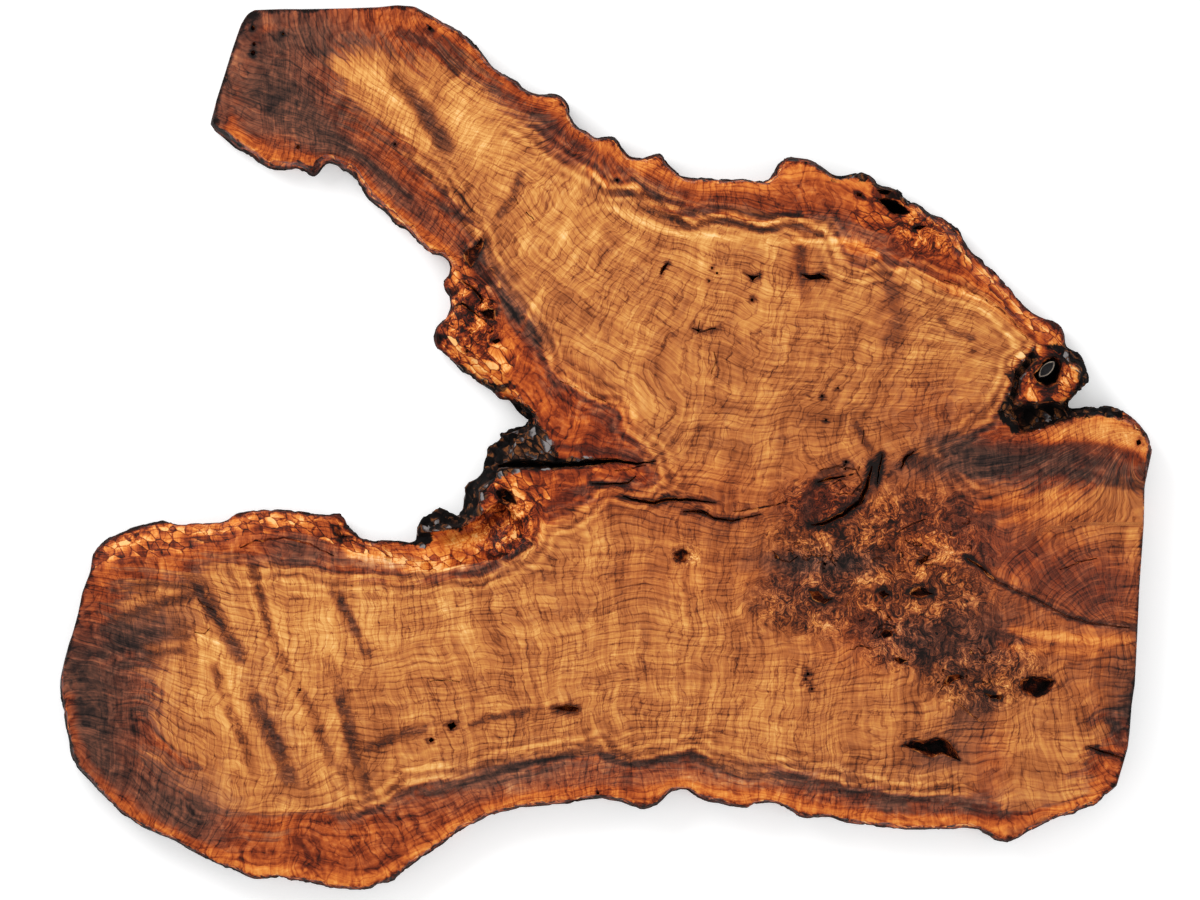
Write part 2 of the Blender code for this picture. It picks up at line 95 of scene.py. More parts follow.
# Soft patches of tone: middle, half width and height, turn in degrees, how much lighter,
# how much redder and how much more purple-grey the wood is in the middle of each. The
# patch on the scoop of the live edge is painted sheen, a glossy reflection, not the wood's tone.
PATCHES = (
    (264, 84, 76, 84, 0, -0.26, 0.0, 0.9), (378, 80, 46, 26, -30, 0.20, 0.0, -0.4),
    (412, 100, 7, 34, 36, -0.26, 0.0, 0.4), (434, 128, 8, 26, 36, -0.22, 0.0, 0.4),
    (510, 160, 90, 36, -45, 0.14, 0.0, 0.0), (360, 172, 110, 22, -42, -0.12, 0.1, 0.8),
    (525, 100, 95, 15, -38, -0.24, 0.1, 0.5),
    (330, 36, 60, 22, -10, -0.06, 0.0, 0.5), (560, 230, 60, 40, -50, 0.10, 0.0, 0.0),
    (740, 240, 140, 26, 3, 0.12, 0.0, 0.0), (600, 300, 60, 60, 0, 0.04, 0.0, 0.0),
    (860, 262, 60, 24, -20, 0.08, 0.0, 0.0), (960, 330, 60, 40, -40, 0.08, 0.0, 0.0),
    (493, 285, 14, 44, 36, -0.28, 0.0, 0.8), (528, 326, 14, 30, 30, -0.22, 0.0, 0.6),
    (560, 400, 34, 60, 40, 0.05, 0.5, 0.0), (612, 428, 22, 26, 0, -0.10, 0.8, 0.1),
    (570, 480, 80, 30, 0, -0.04, 0.7, 0.0), (484, 534, 64, 20, 14, 0.20, 0.8, -0.9),
    # Painted sheen: the pink-white glossy reflection on the scoop of the live edge.
    (410, 562, 70, 7, -4, 0.10, 0.0, 1.6),
    (640, 776, 230, 16, 0, 0.01, 0.0, 0.45), (900, 806, 140, 14, 0, -0.02, 0.0, 0.4),
    (480, 786, 110, 18, 14, -0.04, 0.0, 0.5), (950, 262, 90, 18, -36, 0.06, 0.4, -0.7),
    (1026, 318, 14, 40, 44, 0.06, 0.3, -0.6),
    (464, 330, 36, 66, 42, 0.20, 0.2, -0.8), (700, 362, 110, 60, 0, 0.05, 0.0, 0.0),
    (820, 500, 40, 22, 0, -0.12, 0.6, 0.1), (870, 232, 40, 14, -14, -0.08, 0.2, 0.7),
    (890, 300, 14, 50, 0, -0.08, 0.2, 0.2), (800, 262, 12, 40, 0, -0.16, 0.3, 0.0),
    (300, 640, 130, 60, 5, 0.14, 0.0, 0.0), (260, 724, 100, 60, 0, 0.10, 0.0, 0.0),
    (450, 640, 110, 44, 0, 0.05, 0.0, 0.0), (560, 560, 60, 34, 0, 0.10, 0.0, 0.0),
    (112, 698, 50, 76, -8, -0.30, 0.0, 0.8), (190, 804, 50, 32, -28, -0.12, 0.0, 0.8),
    (150, 626, 44, 14, 14, -0.20, 0.0, 0.7),
    (80, 720, 26, 110, 6, -0.16, 0.0, 0.6), (140, 800, 80, 30, -34, -0.12, 0.0, 0.5),
    (880, 560, 130, 100, 0, -0.08, 0.35, 0.05),
    (845, 563, 42, 14, 0, -0.28, 0.0, 0.7), (790, 562, 34, 12, 0, -0.24, 0.0, 0.6),
    (940, 520, 50, 40, 0, -0.10, 0.3, 0.1), (800, 590, 40, 24, 0, -0.10, 0.2, 0.3),
    (970, 640, 50, 40, 20, -0.22, 0.2, 0.5),
    (905, 640, 34, 22, 0, -0.15, 0.2, 0.5), (970, 715, 30, 16, 35, -0.30, 0.0, 0.5),
    (1080, 578, 74, 44, -16, -0.16, 0.7, 0.3), (1070, 464, 92, 17, -6, -0.22, 0.1, 0.75),
    (1100, 432, 56, 12, -8, 0.13, -0.4, -0.6), (1045, 506, 60, 18, -4, -0.08, 0.3, 0.0),
    (985, 520, 40, 46, 0, -0.16, 0.3, 0.3),
    (1070, 645, 60, 14, 4, 0.08, 0.2, 0.0), (1124, 700, 14, 46, 0, -0.20, 0.0, 0.4),
    (700, 184, 120, 12, 4, -0.07, 0.0, 0.2), (1056, 378, 34, 26, 0, 0.22, 0.6, -0.5),
    (930, 470, 60, 12, 0, -0.14, 0.2, 0.5), (970, 455, 44, 16, -20, -0.26, 0.0, 0.8),
    (800, 700, 150, 50, 0, 0.03, 0.0, 0.0), (640, 660, 80, 60, 20, 0.02, 0.0, 0.0),
    (990, 765, 20, 40, 0, -0.12, 0.5, 0.2), (690, 516, 80, 20, 0, -0.08, 0.3, 0.1),
    (300, 548, 34, 18, 0, -0.22, 0.1, 0.8), (270, 700, 22, 60, 16, -0.04, 0.0, 0.2),
    (1094, 590, 50, 36, 0, -0.12, 0.3, 0.2), (1096, 664, 44, 46, 0, -0.16, 0.3, 0.2),
    (936, 410, 50, 30, 0, -0.14, 0.3, 0.2), (712, 484, 50, 24, 0, -0.09, 0.3, 0.0),
    (676, 568, 84, 32, 0, -0.08, 0.2, 0.0), (562, 640, 40, 44, 0, 0.13, 0.0, 0.0),
    (412, 782, 42, 24, 0, 0.11, 0.0, -0.2), (744, 792, 100, 18, 4, 0.09, 0.0, 0.1),
    (942, 754, 36, 16, 10, -0.18, 0.1, 0.6), (1140, 740, 12, 60, 0, -0.14, 0.0, 0.4),
    (1012, 636, 34, 32, 0, -0.13, 0.3, 0.2), (1010, 558, 38, 34, 0, -0.10, 0.4, 0.1),
    (862, 640, 40, 34, 0, -0.08, 0.3, 0.1),
)

# Burl: middle, half width and height of each patch of curled grain.
BURLS = (
    (880, 545, 110, 62), (850, 600, 100, 40), (930, 600, 60, 70), (980, 670, 60, 40),
    (905, 640, 50, 30), (820, 500, 44, 22), (685, 556, 14, 10), (505, 520, 34, 40),
    (930, 235, 40, 24), (1045, 378, 30, 26),
    (470, 320, 30, 40),
)

# Where the burl's curls are: middle, half width and height, and how many.
CURLS = (
    (815, 550, 50, 20, 9), (905, 555, 30, 24, 7), (880, 610, 40, 26, 6), (955, 670, 34, 34, 8),
    (845, 480, 30, 18, 4), (955, 545, 26, 26, 3), (470, 318, 26, 28, 4), (930, 222, 40, 16, 3),
)

# Dark streaks and bands of figure: half width in millimetres, strength and run.
STREAKS = (
    (7, 0.8, ((190, 570), (208, 600), (222, 626), (240, 656))),
    (3.5, 1.9, ((198, 588), (203, 600), (214, 614), (224, 630), (238, 652))),
    (4, 1.0, ((252, 568), (262, 600), (270, 630), (278, 654))),
    (5, 0.7, ((278, 652), (296, 684), (316, 722), (330, 760))),
    (4.5, 0.7, ((214, 668), (228, 704), (244, 744), (252, 770))),
    (4, 0.9, ((226, 706), (236, 728), (244, 742))),
    (7, 0.8, ((256, 700), (268, 730), (280, 752), (291, 782))),
    (3.5, 1.7, ((262, 712), (272, 732), (284, 756))),
    (5, 0.7, ((334, 590), (346, 614), (358, 636), (368, 654))),
    (3, 1.4, ((340, 600), (352, 622), (364, 650))),
    (5, 0.6, ((330, 662), (342, 694), (350, 726), (362, 770), (368, 794))),
    (4, 1.2, ((340, 700), (347, 728), (356, 760))),
    (4, 0.8, ((104, 628), (140, 610), (180, 598), (204, 594))),
    (6, 0.9, ((104, 652), (132, 642), (160, 634), (186, 632))),
    (3, 0.7, ((110, 670), (150, 654), (184, 650))),
    (3, 0.6, ((128, 588), (160, 584), (190, 588))),
    (8, 0.55, ((396, 82), (412, 96), (424, 112), (436, 130), (444, 146))),
    (3, 1.0, ((402, 88), (414, 100), (424, 116))),
    (4, 0.9, ((400, 33), (428, 43), (446, 57), (456, 70))),
    (4, 0.6, ((420, 28), (446, 40), (462, 56))),
    (3, 1.5, ((612, 190), (636, 193), (658, 200), (670, 216), (690, 228), (713, 220),
              (744, 223), (764, 231), (790, 223), (821, 234))),
    (2.5, 1.1, ((640, 206), (664, 216), (690, 214), (730, 210), (760, 218), (800, 214))),
    (4, 0.8, ((390, 790), (430, 792), (470, 781), (510, 767), (547, 758), (599, 747))),
    (4, 0.7, ((600, 752), (640, 764), (690, 756), (740, 772), (800, 780), (880, 800),
              (960, 802), (1010, 818))),
    (3, 0.9, ((472, 726), (487, 718), (509, 715), (540, 708))),
    (4, 0.8, ((423, 729), (400, 735), (385, 742), (370, 748))),
    (3, 0.8, ((446, 190), (440, 207), (452, 213), (474, 222))),
    (5, 0.7, ((912, 462), (960, 466), (1010, 460), (1060, 456), (1110, 462))),
    (4, 0.7, ((1010, 474), (1060, 470), (1100, 480), (1140, 486))),
    (4, 0.7, ((1000, 446), (1040, 448), (1090, 446), (1136, 456))),
    (2.2, 1.6, ((967, 558), (981, 567), (994, 580), (1015, 590), (1038, 601), (1066, 616),
                (1095, 624), (1139, 628))),
    (7, 1.0, ((846, 512), (860, 500), (870, 484), (876, 462))),
    (4, 0.8, ((804, 520), (810, 490), (824, 474), (850, 466))),
    (2.5, 1.0, ((692, 329), (704, 333), (715, 329))),
    (5, 0.6, ((800, 250), (802, 270), (806, 296))),
    (3, 0.8, ((856, 424), (863, 440), (872, 450))),
    (6, 0.3, ((884, 268), (892, 290), (900, 318), (896, 340))),
    (3, 0.7, ((940, 318), (950, 330), (972, 338))),
    (5, 0.7, ((1128, 700), (1112, 722), (1120, 742))),
    (4, 0.6, ((580, 470), (600, 484), (560, 500), (520, 522))),
    (3, 0.8, ((500, 436), (560, 446), (610, 452), (640, 458))),
    (4, 0.8, ((520, 176), (512, 198), (500, 214))),
    (5, 0.6, ((486, 240), (476, 262), (492, 280))),
    (3, 0.8, ((320, 128), (350, 148), (380, 172), (410, 196))),
)

# Paler bands, the same way. Most are figure; the one on the scoop of the live edge is
# painted sheen, a glossy reflection.
PALE_AND_SHEEN = (
    (3, 1.4, ((590, 172), (612, 188), (634, 186), (652, 202), (676, 216), (696, 224), (728, 211),
              (760, 224), (800, 219), (824, 232))),
    (3, 1.2, ((604, 204), (632, 218), (676, 234), (708, 235), (752, 239), (784, 243), (816, 239),
              (856, 243), (880, 258))),
    (5, 0.9, ((900, 272), (930, 281), (955, 291), (980, 304), (1000, 321), (1014, 337),
              (1018, 352))),
    (8, 0.5, ((244, 570), (262, 612), (280, 652), (300, 700), (316, 750), (322, 788))),
    (9, 0.4, ((206, 640), (226, 690), (240, 740), (258, 790))),
    (8, 0.3, ((300, 580), (316, 622), (334, 662))),
    (12, 0.7, ((346, 62), (366, 74), (392, 98), (420, 140))),
    (12, 0.4, ((430, 60), (452, 90), (470, 130), (490, 160))),
    (5, 0.6, ((584, 170), (570, 206), (562, 244))),
    (2.5, 1.3, ((521, 329), (530, 312), (543, 290))),
    (4, 0.5, ((604, 196), (596, 232), (590, 272))),
    (4, 0.5, ((540, 180), (528, 220), (520, 250))),
    (5, 0.4, ((700, 246), (698, 270), (704, 300))),
    (5, 0.4, ((770, 250), (776, 280), (770, 320))),
    (5, 0.8, ((980, 508), (1010, 500), (1040, 498), (1076, 492))),
    (4, 0.7, ((1000, 524), (1030, 514), (1060, 510), (1090, 506))),
    (7, 0.8, ((1046, 438), (1080, 430), (1110, 432), (1144, 448))),
    (4, 1.2, ((1012, 630), (1060, 637), (1100, 642), (1128, 640))),
    (3, 0.7, ((1000, 646), (1050, 650), (1100, 654))),
    # Painted sheen: the glossy pink-white reflection on the scoop of the live edge.
    (5, 1.8, ((352, 553), (380, 560), (410, 565), (440, 567), (466, 563))),
    (5, 0.9, ((488, 482), (502, 478), (518, 488), (526, 502), (518, 516), (502, 517),
              (490, 508))),
    (9, 0.6, ((420, 552), (450, 548), (484, 540), (512, 530))),
    (5, 0.8, ((108, 552), (140, 538), (176, 530), (208, 530))),
    (5, 0.8, ((230, 520), (262, 514), (300, 518))),
    (6, 0.6, ((446, 322), (462, 346), (490, 366), (516, 384))),
    (4, 0.7, ((880, 548), (896, 542), (912, 536), (930, 540))),
    (4, 0.6, ((880, 574), (900, 566), (924, 570))),
    (4, 0.7, ((984, 684), (1000, 680), (1012, 686))),
    (6, 0.5, ((222, 132), (250, 142), (276, 142), (300, 150))),
    (5, 0.5, ((330, 176), (360, 202), (396, 232), (440, 254))),
)

# Places on the flat face that are chipped into facets too: middle, half width and height.
CHIPPED = (
    (140, 540, 60, 17), (250, 524, 50, 10), (460, 292, 40, 34), (470, 360, 44, 22),
    (1050, 378, 44, 34), (520, 496, 30, 24), (450, 548, 46, 16), (978, 244, 30, 24),
    (1026, 296, 16, 30), (900, 214, 46, 20), (430, 470, 60, 50),
)

# The fan, where a limb left the stem: its outline, and the middle of its rings.
FAN = (
    (992, 574), (1004, 556), (1026, 538), (1054, 527), (1090, 522), (1150, 526), (1146, 630),
    (1095, 624), (1066, 616), (1038, 601), (1015, 590),
)
FAN_MIDDLE = (1120, 645)
FAN_TURN = 75.0  # millimetres of grain to a radian round it

# Bark: each patch with its outline.
BARK = (
    ((400, 545), (413, 540), (410, 530), (412, 515), (428, 504), (448, 504), (458, 508),
     (456, 488), (466, 476), (476, 468), (478, 444), (494, 434), (500, 424), (522, 421),
     (540, 424), (552, 440), (560, 458), (600, 459), (600, 463), (556, 468), (520, 470),
     (505, 474), (496, 480), (489, 489), (484, 498), (478, 503), (482, 512), (470, 520),
     (462, 532), (449, 529), (432, 534), (428, 547)),
    ((504, 398), (520, 400), (534, 412), (540, 420), (528, 420), (514, 410)),
    ((444, 362), (462, 366), (480, 380), (498, 386), (514, 380), (504, 390), (488, 394),
     (462, 380), (448, 372)),
    ((1040, 346), (1052, 350), (1062, 358), (1066, 364), (1076, 366), (1080, 372),
     (1078, 384), (1070, 398), (1058, 402), (1036, 404), (1022, 404), (1012, 406),
     (1024, 412), (1022, 433), (1036, 429), (1052, 424), (1068, 420), (1088, 417),
     (1100, 415), (1118, 419), (1126, 418), (1116, 402), (1080, 402), (1066, 410),
     (1070, 398), (1098, 386), (1094, 360), (1082, 345), (1066, 344)),
    ((1034, 348), (1022, 364), (1015, 371), (1012, 386), (1006, 399), (996, 412),
     (1004, 424), (1020, 436), (1018, 418), (1012, 406), (1018, 393), (1020, 379),
     (1026, 370), (1038, 358)),
    ((822, 170), (836, 180), (852, 178), (866, 182), (870, 168), (846, 166)),
    ((872, 184), (882, 194), (896, 192), (908, 206), (914, 200), (900, 184), (880, 180)),
)

# Hollows, as in the slab's construction: depth in millimetres and rim.
HOLLOWS = {
    "knot_hole": (30, (
        (1054, 356), (1043, 362), (1040, 369), (1033, 375), (1038, 382), (1048, 387),
        (1057, 383), (1061, 372), (1062, 362),
    )),
    "rim_hollow": (38, (
        (878, 199), (887, 198), (892, 200), (899, 204), (911, 212), (904, 215), (893, 214),
        (885, 206),
    )),
    "rim_pocket": (15, ((876, 190), (885, 189), (892, 191), (889, 195), (880, 194))),
    "rim_slot": (10, ((912, 229), (918, 225), (926, 226), (920, 230))),
    "rim_hole": (10, ((857, 192), (862, 193), (862, 197), (857, 196))),
    "charred_inlet": (24, (
        (1068, 406), (1052, 401), (1034, 405), (1018, 404), (1009, 410), (1013, 421),
        (1022, 433), (1036, 428), (1052, 424), (1070, 419),
    )),
    "bark_pocket": (9, (
        (1034, 348), (1022, 364), (1015, 371), (1012, 386), (1008, 399), (1013, 405),
        (1018, 393), (1019, 379), (1025, 371), (1036, 358),
    )),
    "eye": (16, ((495, 492), (505, 488), (514, 496), (517, 504), (507, 503), (498, 498))),
    "arm_eye": (7, (
        (481, 238), (475, 247), (464, 252), (464, 258), (471, 267), (477, 257), (484, 243),
    )),
    "knob_hollow": (12, ((480, 312), (488, 308), (494, 309), (495, 321), (488, 318))),
    "knob_hole": (10, ((450, 291), (457, 287), (458, 291), (453, 295))),
    "knob_slot": (8, ((491, 341), (498, 338), (501, 341), (495, 344))),
    "upper_void": (18, ((743, 272), (751, 276), (760, 275), (753, 281))),
    "upper_slit": (16, ((801, 274), (812, 275), (820, 273), (829, 279), (817, 280), (808, 279))),
    "knot_pit": (8, ((674, 553), (683, 549), (690, 554), (685, 562), (677, 560))),
    "long_void": (20, (
        (903, 745), (914, 741), (922, 743), (931, 740), (941, 738), (950, 744), (956, 752),
        (960, 761), (951, 757), (942, 753), (932, 757), (922, 752), (912, 749),
    )),
    "right_void": (18, (
        (1021, 681), (1030, 677), (1043, 678), (1054, 681), (1049, 691), (1037, 697),
        (1022, 690),
    )),
    "right_curl": (9, ((984, 692), (991, 695), (1003, 696), (1001, 700), (990, 698))),
    "burl_hollow": (9, ((809, 591), (818, 592), (824, 598), (832, 599), (824, 604), (813, 599))),
    "burl_pocket": (9, ((880, 634), (885, 629), (892, 631), (893, 636), (884, 638))),
    "burl_slot": (10, ((910, 592), (919, 587), (928, 591), (934, 594), (922, 596), (912, 596))),
    "burl_hole": (9, ((918, 561), (925, 556), (930, 555), (927, 561), (921, 565))),
    "left_void": (16, ((446, 725), (454, 722), (457, 726), (451, 731))),
    "worm_hole": (20, ((428, 740), (431, 737), (434, 740), (431, 743))),
    "left_slit": (12, ((553, 708), (566, 705), (579, 708), (577, 712), (564, 711))),
    "wing_hole": (12, ((1136, 441), (1140, 439), (1142, 443), (1138, 446))),
    "tangle_slot": (8, ((878, 593), (884, 590), (890, 595), (884, 599))),
    "right_slot": (7, ((893, 659), (900, 657), (908, 661), (900, 664))),
    "right_curve": (7, ((942, 684), (948, 676), (958, 674), (963, 677), (955, 680), (948, 686))),
    "lobe_hole": (14, ((333, 526), (338, 527), (342, 536), (352, 537), (341, 541), (334, 534))),
}

# Thin dark lines, as shallow checks: width and run.
LINES = (
    (1.8, ((967, 558), (981, 567), (994, 580), (1015, 590), (1038, 601), (1066, 616),
           (1095, 624), (1130, 628))),
    (1.4, ((944, 280), (967, 289), (982, 297), (996, 306), (1006, 314), (1018, 327), (1028, 340))),
    (1.2, ((1060, 570), (1078, 562), (1097, 558))),
    (1.5, ((614, 471), (630, 469), (646, 465))),
    (1.6, ((734, 512), (760, 508), (788, 502))),
    (1.6, ((864, 430), (862, 444))),
    (1.3, ((898, 532), (912, 524), (926, 519))),
    (1.3, ((430, 681), (446, 680), (460, 682))),
    (1.5, ((240, 548), (256, 541), (284, 538), (310, 544), (334, 556))),
    (1.2, ((560, 381), (580, 389), (606, 402))),
    (1.5, ((692, 328), (700, 332), (716, 328))),
    (1.3, ((698, 334), (700, 320))),
    (1.3, ((714, 352), (716, 362), (711, 374))),
    (1.5, ((872, 634), (876, 627), (885, 624), (894, 627), (897, 634))),
    (1.3, ((878, 638), (885, 632), (890, 636))),
    (1.5, ((850, 650), (860, 646), (872, 648))),
    (1.4, ((905, 540), (912, 546), (922, 545))),
    (1.3, ((774, 552), (780, 560), (790, 562), (798, 556))),
    (1.3, ((806, 548), (814, 556), (826, 556), (836, 566))),
    (1.3, ((940, 690), (950, 680), (964, 678))),
    (1.5, ((952, 700), (962, 706), (972, 716), (984, 722))),
    (1.4, ((978, 648), (984, 654), (992, 652))),
    (1.3, ((446, 300), (458, 304), (474, 312), (486, 322))),
    (1.3, ((514, 196), (518, 204))),
    (1.3, ((526, 212), (534, 220))),
    (1.2, ((198, 598), (204, 606), (214, 610))),
    (1.2, ((194, 632), (204, 634), (210, 628))),
    (1.3, ((820, 470), (838, 466), (856, 470), (862, 482), (852, 494), (836, 494))),
    (1.2, ((832, 484), (840, 480), (846, 486), (840, 490))),
)

# Worm holes and pin knots: middle and radius.
PIN_HOLES = (
    (808, 674, 1.4), (806, 679, 1.1), (812, 689, 1.2), (253, 28, 2.2), (254, 44, 1.8),
    (253, 53, 2.4), (712, 268, 1.3), (717, 273, 1.2), (709, 281, 1.0), (430, 28, 1.8),
    (298, 147, 2.0), (395, 144, 1.3), (283, 34, 1.4), (617, 180, 1.4), (776, 557, 1.6),
    (598, 793, 1.4), (752, 300, 1.5), (441, 338, 2.2), (445, 324, 1.8), (467, 351, 1.6),
    (822, 396, 1.2), (838, 388, 1.0), (826, 420, 1.1), (846, 462, 1.5), (300, 690, 1.1),
)

# Cracks, as in the slab's construction: depth, and the run as (x, y, width).
CRACKS = {
    "bark_crack": (32, (
        (498, 466, 6), (514, 464, 8), (532, 464, 8), (552, 465, 6), (574, 464, 5),
        (590, 463, 6), (604, 461, 5), (620, 461, 3), (636, 464, 2), (656, 461, 0.6),
    )),
    "lower_crack": (10, ((592, 484, 0.6), (612, 484, 1.6), (628, 483, 1.6), (636, 476, 0.6))),
    "middle_crack": (14, (
        (622, 496, 0.6), (640, 501, 2.4), (654, 503, 3.2), (668, 499, 3), (690, 500, 2.2),
        (716, 503, 0.6),
    )),
    "middle_split": (10, (
        (683, 512, 1), (700, 511, 3), (714, 518, 2), (732, 521, 1.6), (761, 514, 0.6),
    )),
    "burl_crack": (16, (
        (811, 525, 0.8), (822, 524, 3), (842, 515, 4), (860, 502, 4.5), (867, 486, 4),
        (872, 466, 1),
    )),
    "burl_rift": (10, ((818, 482, 0.8), (829, 479, 3), (846, 476, 0.8))),
    "top_rift": (12, ((901, 469, 1), (905, 458, 3.2), (914, 451, 0.8))),
    "top_split": (12, ((877, 484, 0.6), (880, 467, 1.6), (882, 453, 0.6))),
    "star": (10, ((661, 275, 1), (663, 269, 3.4), (668, 263, 0.8))),
    "knob_crack": (10, ((462, 281, 0.8), (473, 288, 2.2), (483, 299, 2.6), (480, 304, 0.6))),
    "knob_rift": (10, ((453, 308, 0.8), (462, 303, 2), (470, 309, 1.6), (480, 318, 0.6))),
    "rim_crack": (6, ((1088, 747, 0.6), (1104, 752, 1.6), (1122, 758, 0.8))),
    "right_crack": (7, ((967, 558, 0.6), (982, 568, 1.6), (994, 580, 0.8))),
}

# The sawn edges, which are flat: the arm's end, the right hand end and the lobe's side.
SAWN = (
    ((209, 123), (223, 76), (240, 24), (253, 9), (307, 8), (397, 4), (414, 5)),
    ((1148, 478), (1145, 523), (1141, 581), (1136, 684), (1131, 730), (1118, 787)),
    ((59, 678), (68, 643), (81, 593), (91, 555)),
)

# The lobe's left end, where the grain runs out to the edge.
LOBE_END = ((91, 555), (59, 678), (66, 730), (92, 770), (140, 800), (190, 826))

# The eye of bark in the knot's hole: its middle, half length up to the right, half width,
# and from foot to floor the height and size of each loop round it.
EYE = (1047, 369)
EYE_LONG, EYE_WIDE = 10.5, 5.2
EYE_LOOPS = ((17.0, 1.25), (38.0, 1.15), (44.8, 1.0), (46.5, 0.94), (45.6, 0.87), (42.0, 0.76))

# A cell's random vector runs from 0 to 1, so it lies about this.
HALF = Vector((0.5, 0.5, 0.5))

# What mark_wood stores at each point of the mesh and the walnut reads.
MARKS = (
    "rim", "ring", "along", "heart", "sawn", "torn", "lighter", "redder", "greyer", "burl",
    "bark", "streak", "pale", "facet", "chip", "hollow", "depth",
)

# The kinds of node that are used often, and the smooth kind of Map Range.
MATH, RANGE, VECTOR = "ShaderNodeMath", "ShaderNodeMapRange", "ShaderNodeCombineXYZ"
VECTOR_MATH, NOISE, VORONOI = "ShaderNodeVectorMath", "ShaderNodeTexNoise", "ShaderNodeTexVoronoi"
SMOOTH = {"interpolation_type": "SMOOTHSTEP"}

# Sizes of the grain, in millimetres.
RING_GAP = 6.25  # between growth rings
RAY_GAP = 7.7  # between rays
RIPPLE_GAP = 11.4  # between the ripples beside the heart line
BUD = 25.0  # across one bud of the burl
PLATE = (17.2, 9.1, 10.0)  # a chip of the edge, along, across and down
FELT_FIBRE = (2.2, 33.0, 10.0)  # a fibre's width and length, and how far down it changes

# Noises drawn out along the grain: how far apart they change in millimetres, across the
# rings, along them and down, then their detail and roughness. Real fibres are a tenth as
# wide, too fine to show, so they are drawn as coarse as they need to be seen.
GRAIN_NOISES = (
    ((2.2, 33.0, 2.5), 3.0, 0.6),  # fibres
    ((13.3, 167.0, 10.0), 3.0, 0.6),  # broad bands along the rings
    ((33.0, 3.3, 10.0), 3.0, 0.6),  # rays
    ((143.0, 18.0, 10.0), 3.0, 0.6),  # columns of figure
    ((50.0, 9.5, 10.0), 2.0, 0.5),  # hair lines across the rings
    ((10.0, 62.0, 10.0), 2.0, 0.5),  # hair checks along them
    ((11.8, 143.0, 10.0), 3.0, 0.65),  # fingers of the outer wood
)

# The colours of the wood from darkest to palest tone.
TONES = (0.0, 0.16, 0.32, 0.46, 0.58, 0.70, 0.84, 1.0)
GOLDEN = ("#140A06", "#37190E", "#683116", "#965027", "#B86C38", "#D18A46", "#E8AB60", "#FACF92")
MAHOGANY = ("#120603", "#340F06", "#66210C", "#923814", "#B5511E", "#D26D29", "#E88F3C", "#F8BC74")
SMOKY = ("#120D0C", "#2F201C", "#513328", "#744534", "#95583D", "#B3724C", "#CE9060", "#EDBC92")
# Bark from black through brown to a cold grey; the grey at the top is painted highlight on the lit side
# of each lump.
BARK_AND_HIGHLIGHT_TONES = (
    (0.20, "#050303"), (0.46, "#0F0A09"), (0.56, "#241510"), (0.64, "#4A2A19"),
    (0.70, "#7E4A26"), (0.76, "#33221A"), (0.84, "#353134"), (0.98, "#85807F"),
)
DEAD_TONES = ((0.0, "#080606"), (0.5, "#2C2A2B"), (0.85, "#625B57"), (1.0, "#AD9C88"))
# The wood inside hollows: brown near the rim, and black where painted shade darkens it further down.
HOLLOW_AND_SHADE_TONES = (
    (0.16, "#050303"), (0.30, "#150908"), (0.39, "#38140A"), (0.46, "#6E2C12"),
    (0.54, "#A9541F"), (0.64, "#D68A4A"),
)


def plan(x, y, height=0.0):
    """A pixel of the photograph, and a height in millimetres, in metres."""
    return Vector(((x - MIDDLE_X) * MM, (MIDDLE_Y - y) * MM, height * MM))


def slab_mesh(node):
    """A welded copy of the CAD solid, remeshed fine enough to carry its relief."""
    mesh = bmesh.new()
    mesh.from_mesh(node.data)
    bmesh.ops.remove_doubles(mesh, verts=mesh.verts[:], dist=1e-5)
    made = placed(mesh, "walnut_slab")
    remesh = made.modifiers.new("even points", "REMESH")
    remesh.mode = "VOXEL"
    remesh.voxel_size = VOXEL * MM
    apply_modifiers(made)
    return made


def carve_edges(made, fields):
    """Chips, plates and ridges where the wood isn't sawn, cut inwards only."""
    data = made.data
    points = coordinates(data)
    normals = np.empty(len(data.vertices) * 3)
    data.vertices.foreach_get("normal", normals)
    normals = normals.reshape(-1, 3)
    x, y, z = photo_places(points)
    xs, ys, _, _, along = fields
    runs = sample(along, (x - xs[0]) / CELL, (y - ys[0]) / CELL)
    # 1 on the edge's wall and 0 on the two faces, and little where the edge is sawn.
    steep = np.clip((0.93 - normals[:, 2]) / 0.25, 0, 1) * (normals[:, 2] > -0.75)
    steep *= np.clip((from_runs(x, y, SAWN) - 5.0) / 12.0, 0.06, 1.0)
    # Bark is cut deeper. Bark and chipped places are cut on the show face too.
    bark = deepest(x, y, BARK)
    rough = 1.0 + 1.1 * np.clip((bark + 3.0) / 4.0, 0, 1)
    flat = np.clip((bark + 1.0) / 5.0, 0, 1) * 0.8
    flat = np.maximum(flat, 0.35 * in_ovals(x, y, CHIPPED, 1.5))
    steep = np.maximum(steep, flat * (z > THICK - 12.0))
    cut = np.zeros(len(x))
    for i in np.nonzero(steep > 0.02)[0]:
        spot = Vector((x[i], y[i], z[i]))
        cut[i] = chips(spot, runs[i]) * rough[i] * steep[i]
    lift = (z > THICK - 0.4) & (normals[:, 2] > 0.9) & (steep <= 0.02)
    points -= normals * (cut * MM)[:, None]
    points[lift, 2] = THICK * MM
    points[:, 2] = np.maximum(points[:, 2], 0.0)
    data.vertices.foreach_set("co", points.ravel())
    data.update()


